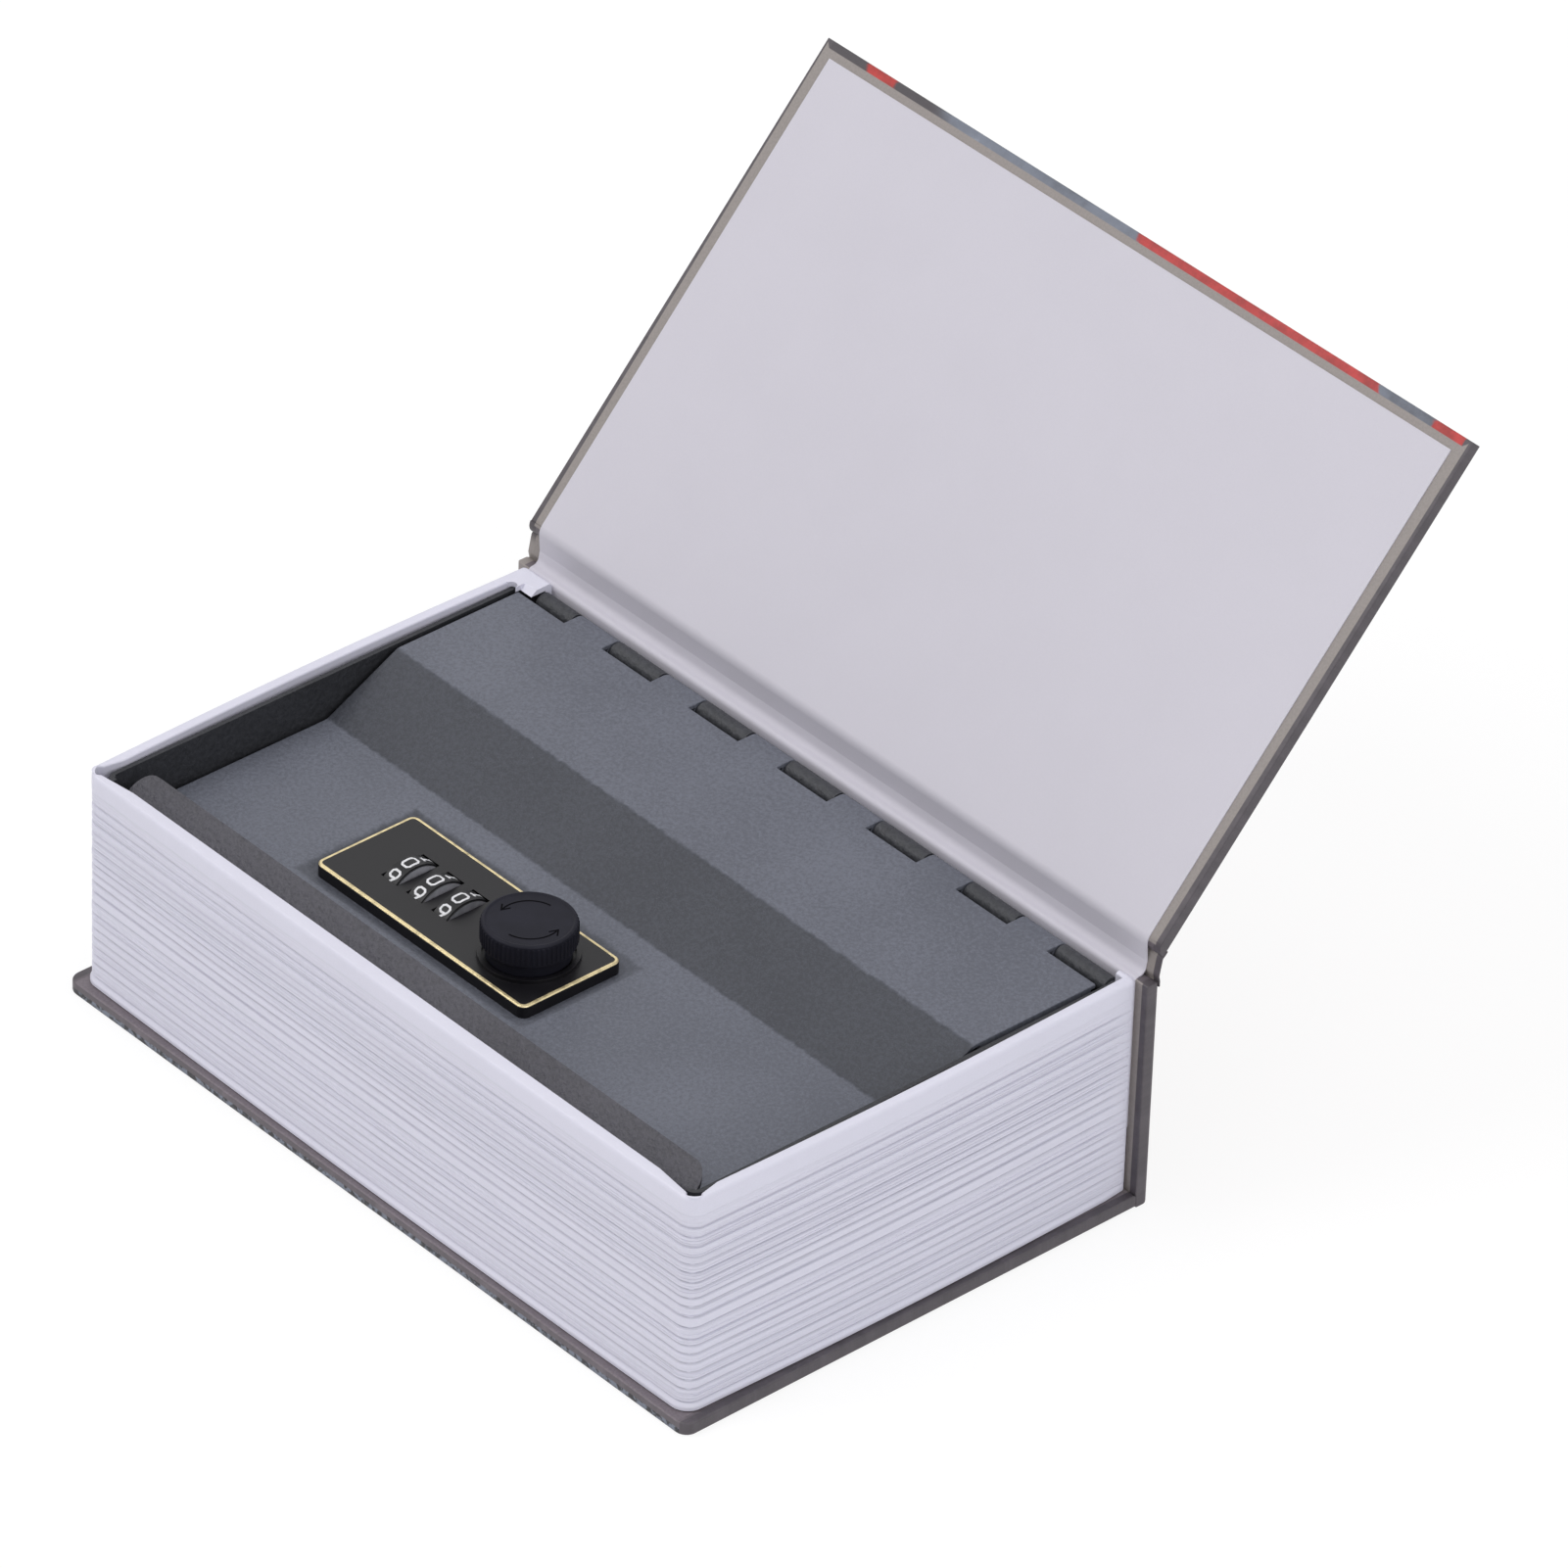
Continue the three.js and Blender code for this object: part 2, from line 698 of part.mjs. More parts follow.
// The rim's filled corner behind the lid at the left end, sloped so that the lid swings past it.
function rimCorner() {
  const under = boxTop + rimCornerGap;
  const wallX = -(blockEnd - blockWall / 2);
  const sideX = -(lidHalf + rimCornerSideGap);
  const wallY = blockRear - blockRearWall / 2;
  const slope = alongX([
    [hingeY - rimSlopeFoot, under],
    [wallY, under],
    [wallY, rimZ],
    [hingeY - rimSlopeTop, rimZ],
  ], wallX, rimCornerX);
  const frontY = blockRear - rimCornerDepth;
  const slotRadius = (blockEnd - blockWall + sideX) / 2;
  const side = block(wallX, sideX, frontY, wallY, under, rimZ);
  const slotEnd = postZ(slotRadius, sideX - slotRadius, frontY, under - overrun, rimZ + overrun);
  return slope.add(side).subtract(slotEnd);
}

function pageBlock() {
  let frame = blockFrame();
  frame = frame.subtract(block(
    rimCornerX, boxInnerEnd, boxInnerRear, spineY, rearWallTop, rimZ + overrun));
  for (const side of [-1, 1]) {
    const x = side * (blockEnd - blockWall);
    const y = blockFore + blockForeWall;
    frame = frame.subtract(postZ(rimNotchRadius, x, y, rimZ - rimNotchDepth, rimZ + overrun));
  }
  return piece("page_block", frame.add(rimCorner()), pageFinish);
}

// Steel box

function boxTray() {
  const outline = roundedRect(-boxEnd, boxEnd, boxFront, boxRear, boxCornerRadius);
  const inside = roundedRect(
    -boxInnerEnd, boxInnerEnd, boxInnerFront, boxInnerRear, boxCornerRadius - boxSheet);
  const tray = upright(outline, backStack, boxTop);
  return tray.subtract(upright(inside, boxFloor, boxTop + overrun));
}

// The front wall's top, bent inward and leaning over the lid's front edge.
function frontFlange() {
  const path = bent([
    [boxFront, flangeRoot - boxSheet],
    [boxFront, flangeRoot + flangeBend * Math.tan(flangeTurn / 2)],
    [flangeEdge, flangeTop],
  ], flangeBend).reverse();
  const flange = sheet(path, boxSheet, -flangeHalf, flangeHalf);
  const plan = roundedRect(-flangeHalf, flangeHalf, boxFront, flangeEdge, seatGap, flangeCornerRadius);
  return flange.intersect(upright(plan, boxFloor, rimZ));
}

function knuckle(start, end) {
  const ring = rodX(knuckleRadius, start, end, hingeY, hingeZ);
  return ring.subtract(rodX(knuckleBore, start - overrun, end + overrun, hingeY, hingeZ));
}

function boxBody() {
  const cutHalf = boxInnerEnd - wallCutInset;
  let box = boxTray();
  box = box.subtract(block(-cutHalf, cutHalf, boxFront - overrun, boxInnerFront, flangeRoot, boxTop + overrun));
  const cornerStart = boxInnerRear - boxCornerRadius;
  box = box.subtract(block(
    rimCornerX, boxInnerEnd, cornerStart, boxRear + overrun, rearWallTop, boxTop + overrun));
  box = box.add(frontFlange());
  for (let i = -knucklesEachSide; i <= knucklesEachSide; i++) {
    const start = Math.max(i * knucklePitch - boxKnuckleLength / 2, firstKnuckleX);
    const end = i * knucklePitch + boxKnuckleLength / 2;
    const neckTop = hingeZ - (knuckleBore + knuckleRadius) / 2;
    box = box.add(block(start, end, boxInnerRear, boxRear, rearWallTop - boxSheet, neckTop));
    box = box.add(knuckle(start, end));
  }
  return piece("box_body", box, boxFinish);
}

// A channel on the front wall: the lid rests on its upper lip and the cam hooks under its lower lip.
function strikeChannel() {
  const top = lowerBottom - lidRestGap;
  const bottom = camTop + turnGap;
  const reach = boxInnerFront + channelReach;
  const path = bent([
    [reach, bottom],
    [boxInnerFront, bottom],
    [boxInnerFront, top],
    [reach, top],
  ], channelBend).reverse();
  return piece("strike_channel", sheet(path, boxSheet, -channelHalf, channelHalf), boxFinish);
}

function hingePin() {
  const end = knucklesEachSide * knucklePitch + boxKnuckleLength / 2 + seatGap;
  let pin = rodX(pinRadius, firstKnuckleX - seatGap, end, hingeY, hingeZ);
  pin = pin.add(rodX(pinHeadRadius, end, end + pinHeadLength, hingeY, hingeZ));
  return piece("hinge_pin", pin, steelFinish);
}

// Steel lid: one sheet with a high rear panel, a slope and a low front panel, rolled round the pin

function lidPanel() {
  const path = bent([
    [hingeY, lidTop],
    [upperCrease, lidTop],
    [lowerCrease, lowerTop],
    [lidFront, lowerTop],
  ], lidBendRadius);
  const panel = sheet(path, lidSheet, -lidHalf, lidHalf);
  const plan = roundedRect(-lidHalf, lidHalf, lidFront, hingeY, lidCornerRadius, seatGap);
  return panel.intersect(upright(plan, lowerBottom - overrun, lidTop + overrun));
}

function lidHinge(panel) {
  let lid = panel;
  for (let i = -knucklesEachSide; i <= knucklesEachSide; i++) {
    const x = i * knucklePitch;
    const half = slotLength / 2;
    const slot = block(x - half, x + half, hingeY - slotDepth, spineY, lowerBottom, lidTop + overrun);
    lid = lid.subtract(slot);
  }
  for (let i = -knucklesEachSide; i < knucklesEachSide; i++) {
    const start = i * knucklePitch + slotLength / 2;
    lid = lid.add(knuckle(start, start + knucklePitch - slotLength));
  }
  return lid;
}

function lidBody() {
  let lid = lidHinge(lidPanel());
  for (const side of [-1, 1]) {
    const rim = [side * lidHalf, side * (lidHalf - lidSheet)].sort((a, b) => a - b);
    const start = upperCrease + lidFlangeStart;
    const end = hingeY - lidFlangeEnd;
    lid = lid.add(block(...rim, start, end, lidTop - lidSheet - lidFlangeDrop, lidTop));
  }
  const press = recessUnder;
  lid = lid.add(plateTaper(
    recessFloorMargin + seatGap, recessCornerRadius, press, recessMargin, recessCornerRadius, lowerBottom));
  lid = lid.subtract(plateTaper(
    recessFloorMargin, recessCornerRadius, plateBottom, recessMargin, recessCornerRadius, lowerTop));
  const holeX = housingHalfX + housingHoleGap;
  const holeY = housingHalfY + housingHoleGap;
  lid = lid.subtract(block(
    plateX - holeX, plateX + holeX, plateY - holeY, plateY + holeY, press - overrun, lidTop));
  return piece("lid", lid, lidFinish);
}

// Lock plate, gold line and housing

function dialX(index) {
  return plateX + firstDialOffset + index * dialPitch;
}

// The space that one dial and its hub turn in.
function dialPocket(index) {
  const x = dialX(index);
  const half = dialWidth / 2 + dialGap;
  const disc = rodX(dialRadius + dialGap, x - half, x + half, plateY, dialZ, roundSteps);
  const hubEnd = x + dialWidth / 2 + hubWidth + dialGap;
  return disc.add(rodX(hubRadius + dialGap, x, hubEnd, plateY, dialZ));
}

function screwPlaces() {
  const places = [];
  for (const sideX of [-1, 1]) {
    for (const sideY of [-1, 1]) {
      places.push([
        plateX + sideX * (housingHalfX - screwInsetX),
        plateY + sideY * (housingHalfY - screwInsetY),
      ]);
    }
  }
  return places;
}

function lineRing(grow, z0, z1) {
  const ring = upright(plateRect(grow - lineInset, plateCornerRadius - lineInset + grow), z0, z1);
  const inner = plateRect(-grow - lineInset - lineWidth, plateCornerRadius - lineInset - lineWidth - grow);
  return ring.subtract(upright(inner, z0 - overrun, z1 + overrun));
}

function lockPlate() {
  const edge = plateTop - plateBevel;
  let plate = loft([
    { points: outlinePoints(plateRect(0, plateCornerRadius)), z: plateBottom },
    { points: outlinePoints(plateRect(0, plateCornerRadius)), z: edge },
    { points: outlinePoints(plateRect(-plateBevel, plateCornerRadius - plateBevel)), z: plateTop },
  ]);
  plate = plate.add(postZ(collarOuter, knobX, plateY, edge, plateTop + collarHeight, roundSteps));
  plate = plate.subtract(postZ(collarInner, knobX, plateY, plateTop, plateTop + overrun, roundSteps));
  plate = plate.subtract(postZ(spindleRadius + turnGap, knobX, plateY, plateBottom - overrun, plateTop + overrun));
  plate = plate.subtract(lineRing(seatGap, plateTop - lineDepth, plateTop + overrun));
  for (let i = 0; i < dialCount; i++) {
    plate = plate.subtract(dialPocket(i));
  }
  for (const [x, y] of screwPlaces()) {
    const holeTop = plateBottom + screwBite + screwGap;
    plate = plate.subtract(postZ(screwRadius + screwGap, x, y, plateBottom - overrun, holeTop));
  }
  return piece("lock_plate", plate, lockFinish);
}

function goldLine() {
  return piece("gold_line", lineRing(0, plateTop - lineDepth, plateTop + lineProud), lineFinish);
}

function housingBlock(grow, z0, z1) {
  const halfX = housingHalfX + grow;
  const halfY = housingHalfY + grow;
  return upright(
    roundedRect(plateX - halfX, plateX + halfX, plateY - halfY, plateY + halfY, plateCornerRadius), z0, z1);
}

function cavityStart() {
  return dialX(0) - dialWidth / 2 - cavityEnd;
}

function cavityStop() {
  return dialX(dialCount - 1) + dialWidth / 2 + hubWidth + cavityEnd;
}

function lockHousing() {
  const clampTop = recessUnder - clampGap;
  let housing = housingBlock(0, housingBottom, plateBottom);
  housing = housing.add(housingBlock(clampMargin, clampTop - clampFlange, clampTop));
  const round = rodX(cavitySide, cavityStart(), cavityStop(), plateY, dialZ, roundSteps);
  const well = block(
    cavityStart(), cavityStop(), plateY - cavitySide, plateY + cavitySide, housingBottom - overrun, dialZ);
  housing = housing.subtract(round.add(well));
  housing = housing.subtract(rodX(
    axleRadius + axleGap, cavityStart() - axleSeat - axleGap, cavityStop() + axleSeat + axleGap, plateY, dialZ));
  housing = housing.subtract(postZ(
    spindleRadius + turnGap, knobX, plateY, housingBottom - overrun, plateTop));
  for (const [x, y] of screwPlaces()) {
    housing = housing.subtract(postZ(screwRadius + screwGap, x, y, housingBottom - overrun, plateTop));
  }
  const pocketX = leverPlateX / 2 + turnGap;
  const pocketY = (leverPlateY + leverTravel) / 2 + turnGap;
  housing = housing.subtract(block(
    leverX - pocketX, leverX + pocketX, plateY - pocketY, plateY + pocketY,
    housingBottom - overrun, housingBottom + leverPlateThick + 2 * turnGap));
  return piece("lock_housing", housing, lockFinish);
}

function housingCover() {
  let cover = housingBlock(0, coverBottom, housingBottom);
  cover = cover.subtract(postZ(
    spindleRadius + turnGap, knobX, plateY, coverBottom - overrun, housingBottom + overrun));
  for (const [x, y] of screwPlaces()) {
    cover = cover.subtract(postZ(screwRadius + screwGap, x, y, coverBottom - overrun, housingBottom + overrun));
  }
  const slotX = leverStemX / 2 + turnGap;
  const slotY = (leverStemY + leverTravel) / 2 + turnGap;
  cover = cover.subtract(block(
    leverX - slotX, leverX + slotX, plateY - slotY, plateY + slotY,
    coverBottom - overrun, housingBottom + overrun));
  return piece("housing_cover", cover, lockFinish);
}

function housingScrew([x, y], index) {
  const head = coverBottom - screwHeadHeight;
  const profile = [
    [0, head],
    [screwFaceRadius, head],
    [screwHeadRadius, head + screwHeadHeight / 2],
    [screwHeadRadius, coverBottom],
    [screwRadius, coverBottom],
    [screwRadius, plateBottom + screwBite],
    [0, plateBottom + screwBite],
  ];
  return piece(`housing_screw_${index + 1}`, turned(profile, x, y, holeSteps), steelFinish);
}

// Dials, their axle and the leaf that holds each dial at a digit

function dialAxle() {
  const axle = rodX(axleRadius, cavityStart() - axleSeat, cavityStop() + axleSeat, plateY, dialZ);
  return piece("dial_axle", axle, steelFinish);
}

function dial(index) {
  const x = dialX(index);
  const half = dialWidth / 2;
  let wheel = rodX(dialRadius - dialEdge, x - half, x + half, plateY, dialZ, roundSteps);
  wheel = wheel.add(rodX(dialRadius, x - half + dialEdge, x + half - dialEdge, plateY, dialZ, roundSteps));
  wheel = wheel.add(rodX(hubRadius, x, x + half + hubWidth, plateY, dialZ));
  for (let digit = 0; digit < digitsPerDial; digit++) {
    const angle = 2 * Math.PI * (digit + 1 / 2) / digitsPerDial;
    const y = plateY + hubRadius * Math.cos(angle);
    const z = dialZ + hubRadius * Math.sin(angle);
    wheel = wheel.subtract(rodX(hubNotch, x + half, x + half + hubWidth + overrun, y, z, hexSides));
  }
  wheel = wheel.subtract(rodX(axleRadius + dialGap, x - dialWidth, x + dialWidth, plateY, dialZ));
  return piece(`dial_${index + 1}`, wheel, dialFinish);
}

function detentSpring() {
  const top = dialZ - hubRadius - dialGap;
  const front = plateY - cavitySide + seatGap;
  let spring = block(
    cavityStart() + seatGap, cavityStop() - seatGap, front, front + springBar, top - springThick, top);
  for (let i = 0; i < dialCount; i++) {
    const x = dialX(i) + dialWidth / 2 + hubWidth / 2;
    const half = springFinger / 2;
    spring = spring.add(block(x - half, x + half, front, plateY + hubNotch, top - springThick, top));
  }
  return piece("detent_spring", spring, steelFinish);
}

// Knob and everything that turns with it

function knob() {
  const top = knobBottom + knobHeight;
  const grip = top - knobGripHeight;
  const rim = knobRadius - knobToothDepth;
  const bore = spindleRadius + seatGap;
  const profile = [
    [0, knobBottom],
    [knobNeckBottom, knobBottom],
    [knobNeckTop, grip - knobBevel],
    [rim, grip],
    [rim, top - knobBevel],
    [rim - knobBevel, top],
    [rim - knobBevel - knobRimFlat, top],
    [rim - knobBevel - knobRimFlat - knobDishEdge, top - knobDish],
    [0, top - knobDish],
  ];
  let body = turned(profile, knobX, plateY, roundSteps);
  const teeth = new THREE.Shape(Array.from({ length: 2 * knobTeeth }, (_, i) => {
    const angle = Math.PI * i / knobTeeth;
    const radius = i % 2 === 0 ? knobRadius : rim;
    return new THREE.Vector2(knobX + radius * Math.cos(angle), plateY + radius * Math.sin(angle));
  }));
  const hollow = postZ(knobNeckTop, knobX, plateY, grip - overrun, top + overrun, roundSteps);
  const band = upright(teeth, grip + knobBevel / 2, top - knobBevel).subtract(hollow);
  body = body.add(band);
  body = body.subtract(postZ(bore, knobX, plateY, knobBottom - overrun, knobBottom + spindleIntoKnob));
  return piece("knob", body, lockFinish);
}

function spindle() {
  const tail = camBottom - washerThick - nutThick - tailPastNut;
  const top = knobBottom + spindleIntoKnob - seatGap;
  const profile = [
    [0, tail],
    [spindleTailRadius, tail],
    [spindleTailRadius, camTop],
    [spindleRadius, camTop],
    [spindleRadius, top],
    [0, top],
  ];
  return piece("spindle", turned(profile, knobX, plateY, holeSteps), steelFinish);
}

// A tapered arm from the spindle. It points along X here, clear of the channel.
function cam() {
  const span = camReach - camTipRadius;
  const lean = Math.acos((camHubRadius - camTipRadius) / span);
  const arm = new THREE.Shape();
  arm.absarc(knobX, plateY, camHubRadius, lean, 2 * Math.PI - lean, false);
  arm.absarc(knobX + span, plateY, camTipRadius, -lean, lean, false);
  const plate = upright(arm, camBottom, camTop, holeSteps);
  const hole = postZ(spindleTailRadius + seatGap, knobX, plateY, camBottom - overrun, camTop + overrun);
  return piece("cam", plate.subtract(hole), steelFinish);
}

function tailRing(name, radius, z0, z1, steps) {
  const ring = postZ(radius, knobX, plateY, z0, z1, steps);
  const hole = postZ(spindleTailRadius + seatGap, knobX, plateY, z0 - overrun, z1 + overrun);
  return piece(name, ring.subtract(hole), steelFinish);
}

function camWasher() {
  return tailRing("cam_washer", washerRadius, camBottom - washerThick, camBottom, holeSteps);
}

function camNut() {
  const top = camBottom - washerThick;
  return tailRing("cam_nut", nutAcrossCorners / 2, top - nutThick, top, hexSides);
}

// A thumb slide on the housing cover, held by a plate above the slot.
function resetLever() {
  const column = (halfX, halfY, z0, z1) =>
    block(leverX - halfX, leverX + halfX, leverY - halfY, leverY + halfY, z0, z1);
  const plateZ = housingBottom + turnGap;
  const padTop = coverBottom - turnGap;
  let lever = column(leverStemX / 2, leverStemY / 2, padTop - leverPadHeight, plateZ + leverPlateThick);
  lever = lever.add(column(leverPlateX / 2, leverPlateY / 2, plateZ, plateZ + leverPlateThick));
  lever = lever.add(column(leverPad / 2, leverPad / 2, padTop - leverPadHeight, padTop));
  return piece("reset_lever", lever, steelFinish);
}

const book = new THREE.Group();
book.add(backBoard(), spineBoard(), backWrap(), spineWrap(), backEndpaper(), hingeLiner());
book.add(jointStrip(), frontCover());
book.add(pageBlock(), boxBody(), strikeChannel(), hingePin());
book.add(lidBody(), lockPlate(), goldLine(), lockHousing(), housingCover());
book.add(...screwPlaces().map(housingScrew));
book.add(dialAxle(), detentSpring());
for (let i = 0; i < dialCount; i++) {
  book.add(dial(i));
}
book.add(knob(), spindle(), cam(), camWasher(), camNut(), resetLever());

export default book;
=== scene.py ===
import json
import math

import bmesh
import bpy
import numpy as np
from mathutils import Matrix, Vector


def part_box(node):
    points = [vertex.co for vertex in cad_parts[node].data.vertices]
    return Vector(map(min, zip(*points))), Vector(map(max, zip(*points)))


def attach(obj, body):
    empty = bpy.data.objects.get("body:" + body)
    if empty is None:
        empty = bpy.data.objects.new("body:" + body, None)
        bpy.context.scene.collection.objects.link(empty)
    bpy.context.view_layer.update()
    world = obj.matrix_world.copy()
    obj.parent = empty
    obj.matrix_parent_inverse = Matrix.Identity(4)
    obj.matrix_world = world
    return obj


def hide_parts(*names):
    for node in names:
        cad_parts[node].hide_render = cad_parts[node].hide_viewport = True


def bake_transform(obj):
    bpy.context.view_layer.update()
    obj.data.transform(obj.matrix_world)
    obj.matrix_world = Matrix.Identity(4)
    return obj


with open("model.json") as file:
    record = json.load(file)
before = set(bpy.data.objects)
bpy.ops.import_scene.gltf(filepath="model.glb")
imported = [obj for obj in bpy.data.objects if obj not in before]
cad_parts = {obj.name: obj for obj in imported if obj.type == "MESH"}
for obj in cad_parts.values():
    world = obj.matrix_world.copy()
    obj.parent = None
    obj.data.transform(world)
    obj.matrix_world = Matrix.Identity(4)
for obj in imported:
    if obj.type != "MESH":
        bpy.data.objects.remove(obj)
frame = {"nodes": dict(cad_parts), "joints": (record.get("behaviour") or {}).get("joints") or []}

bl_info = {
    "name": "Book safe",
    "version": (1, 0, 0),
    "blender": (4, 5, 0),
    "location": "3D View > Sidebar > Book safe",
    "description": "Dresses the packed book safe in printed cloth, paper, plastic and coated steel",
    "category": "Object",
}

MM = 0.001


def linear(red, green, blue):
    """A colour as it is seen on screen, 0 to 255, as scene linear values."""
    out = []
    for value in (red, green, blue):
        share = value / 255
        out.append(share / 12.92 if share <= 0.04045 else ((share + 0.055) / 1.055) ** 2.4)
    return tuple(out)


def colour(name, description, red, green, blue):
    return bpy.props.FloatVectorProperty(
        name=name, description=description, subtype="COLOR", size=3, min=0, max=1,
        default=linear(red, green, blue),
    )


def length(name, description, millimetres):
    return bpy.props.FloatProperty(
        name=name, description=description, default=millimetres * MM, min=0, subtype="DISTANCE", unit="LENGTH"
    )


# Places from the frame, the cover's lean at rest, and the directions along the joint's strip and the cover

CREASES = {joint["name"]: Vector(joint["pos_m"]) for joint in frame["joints"] if joint["type"] == "hinge"}
SPINE_CREASE = CREASES["spine_crease"]
BOARD_CREASE = CREASES["board_crease"]
LID_HINGE = CREASES["lid_hinge"]
COVER_LEAN = math.radians(48)
ALONG_STRIP = (BOARD_CREASE - SPINE_CREASE).normalized()
ALONG_COVER = Vector((0, math.cos(COVER_LEAN), math.sin(COVER_LEAN)))
ALONG_COVER_FACE = Vector((0, -math.sin(COVER_LEAN), math.cos(COVER_LEAN)))
STRIP_FACE = Vector((0, -ALONG_STRIP.z, ALONG_STRIP.y))
STRIP_LENGTH = (BOARD_CREASE - SPINE_CREASE).length

# Thickness of the cloth, depth of the front board's inner face, how near to an inner face the cloth counts
# as folded in, and the paper's level on the joint's strip

CLOTH = 0.3 * MM
BOARD_INSIDE = 2.6 * MM
FOLD_SKIN = 0.15 * MM
PAPER_ON_STRIP = 0.25 * MM

# Places on the flat print in metres: the bands and their start along its sweep, the board's ends across it,
# the rest along the way from the spine's crease

BANDS = ((-0.0375, -0.0295), (0.0398, 0.1045), (0.1180, 0.1320))
SWEEP_START = (-0.019, -0.010)
FRONT_START = (0.006, 0.009)
BACK_FORE_EDGE = (0.164, 0.166)
SPINE_FOOT = (0.053, 0.058)
FRONT_FORE_EDGE = (0.1139, 0.1141)
MITRE = 0.0257
BOARD_ENDS = (0.0880, 0.0883)
FOLDED_ENDS = (0.0885, 0.0887)

# The lid's slope from its front edge and the seat round the lock plate, where the coat gets painted shade,
# and the flange's inner corner, where the box's lighter flange colour ends

SLOPE_START, SLOPE_WIDTH = 44.7 * MM, 17.4 * MM
SEAT_REACH = (2.0 * MM, 3.3 * MM)
SEAT_TOP = (0.044, 0.046)
SEAT_SLANT = 0.6
FLANGE_CORNER = Vector((81.9 * MM, -44.9 * MM))


class BookSizes(bpy.types.PropertyGroup):
    """Sizes of the paper, the cloth and the page block."""

    cloth_round: length("Cloth edge", "Rounding of the boards under their printed cloth", 0.55)
    fold_round: length("Inner edge", "Rounding of the boards on the inside", 0.45)
    spine_round: length("Spine edge", "Rounding of the spine's outer ends", 1.1)
    margin: length("Endpaper margin", "Cloth left showing round the endpaper", 3.3)
    paper: length("Paper", "Thickness of the endpapers", 0.25)
    corner: length("Cover corner", "Rounding of the back cover's fore-edge corners in plan", 2.7)
    near_round: length("Board edge", "Rounding of the front board's edge under the joint paper", 2.2)


class BlockSizes(bpy.types.PropertyGroup):
    """Sizes of the moulded page block."""

    half: length("Half length", "From the middle of the block to its ends", 87.5)
    fore: length("Fore-edge", "From the middle of the book to the block's front corners", 55.3)
    end_bow: length("End bow", "How far the ends bow out", 0.9)
    fore_bow: length("Fore bow", "How far the fore-edge bows out", 0.7)
    front_round: length("Front corner", "Radius of the two front corners", 3.6)
    rear_round: length("Rear corner", "Radius of the two rear corners", 1.1)
    side_wall: length("End wall", "Thickness of the rim at the ends", 2.5)
    fore_wall: length("Fore wall", "Thickness of the rim at the fore-edge", 2.7)
    rear_wall: length("Rear wall", "Thickness of the wall behind the hinge", 1.6)
    notch: length("Notch", "Radius of the notches in the rim's front corners", 1.35)
    cut_left: length("Hinge space, left", "From the middle to the left end of the hinge's space", 79.5)
    cut_right: length("Hinge space, right", "From the middle to the right end of the hinge's space", 83.3)
    cut_level: length("Hinge space floor", "Height of the wall under the hinge", 46.1)
    rib_depth: length("Rib depth", "Depth of the grooves between the page ribs", 0.46)
    rib_pitch: length("Rib pitch", "Mean height of one rib", 2.1)
    rib_band: length("Plain band", "Height left plain under the rim", 4.6)
    rib_stop: length("Rib stop", "Where the ribs end before the spine", 4.6)
    flare: length("Foot flare", "How far the foot stands out", 0.3)


class SteelSizes(bpy.types.PropertyGroup):
    """Sizes of the steel box, the lid and the lock."""

    sheet_edge: length("Sheet edge", "Rounding of the sheet steel's cut edges", 0.16)
    plate_edge: length("Plate edge", "Rounding of the lock plate's edges", 0.22)
    digit_height: length("Digit height", "Height of the digits round the dials", 3.5)
    digit_width: length("Digit width", "Width of the digits", 2.45)
    digit_stroke: length("Digit stroke", "Width of the digits' strokes", 0.46)
    line_width: length("Gold line", "Width of the gold line round the lock plate", 0.8)
    knurls: bpy.props.IntProperty(
        name="Knurls", description="Ridges round the knob's grip", default=60, min=12
    )
    knurl_height: length("Knurl height", "How far the ridges stand out of the grip", 0.2)


class BookColours(bpy.types.PropertyGroup):
    """Colours of the case and the page block."""

    paper: colour("Endpaper", "The inner papers", 206, 203, 213)
    pages: colour("Pages", "The moulded page block", 221, 220, 234)
    margin: colour("Cloth margin", "The unprinted cloth on the inside", 146, 139, 136)
    slate: colour("Slate", "The darkest part of the print", 58, 56, 62)
    cloud: colour("Cloud", "The middle part of the print", 118, 124, 138)
    mist: colour("Mist", "The lightest part of the print", 186, 190, 202)
    red: colour("Red", "The bands across the print", 196, 52, 48)
    plum: colour("Plum", "The print round the ends of the boards", 86, 80, 86)
    stone: colour("Stone", "The quiet print of the spine and the back cover", 108, 100, 106)
    board: colour("Board", "The grey board in the covers", 120, 115, 110)


class SteelColours(bpy.types.PropertyGroup):
    """Colours of the box, the lid and the lock."""

    lid: colour("Lid", "Powder coat of the lid", 110, 113, 124)
    # The flange colour is a lighter copy of the box's wall colour: painted light on the flange over the lid.
    flange: colour("Flange", "Powder coat of the box's front flange", 86, 85, 92)
    box: colour("Box", "Powder coat of the box's walls", 58, 59, 63)
    zinc: colour("Zinc", "Plated steel of pins and screws", 176, 178, 182)
    black: colour("Black", "Plastic of the lock", 14, 13, 17)
    knob: colour("Knob", "Plastic of the knob", 31, 31, 39)
    drum: colour("Drum", "The sides of the dials", 165, 165, 172)
    gold: colour("Gold", "The line round the lock plate", 230, 213, 168)
    digit: colour("Digits", "The digits on the dials", 232, 232, 236)
    dial: colour("Dials", "Plastic of the dials", 20, 20, 23)


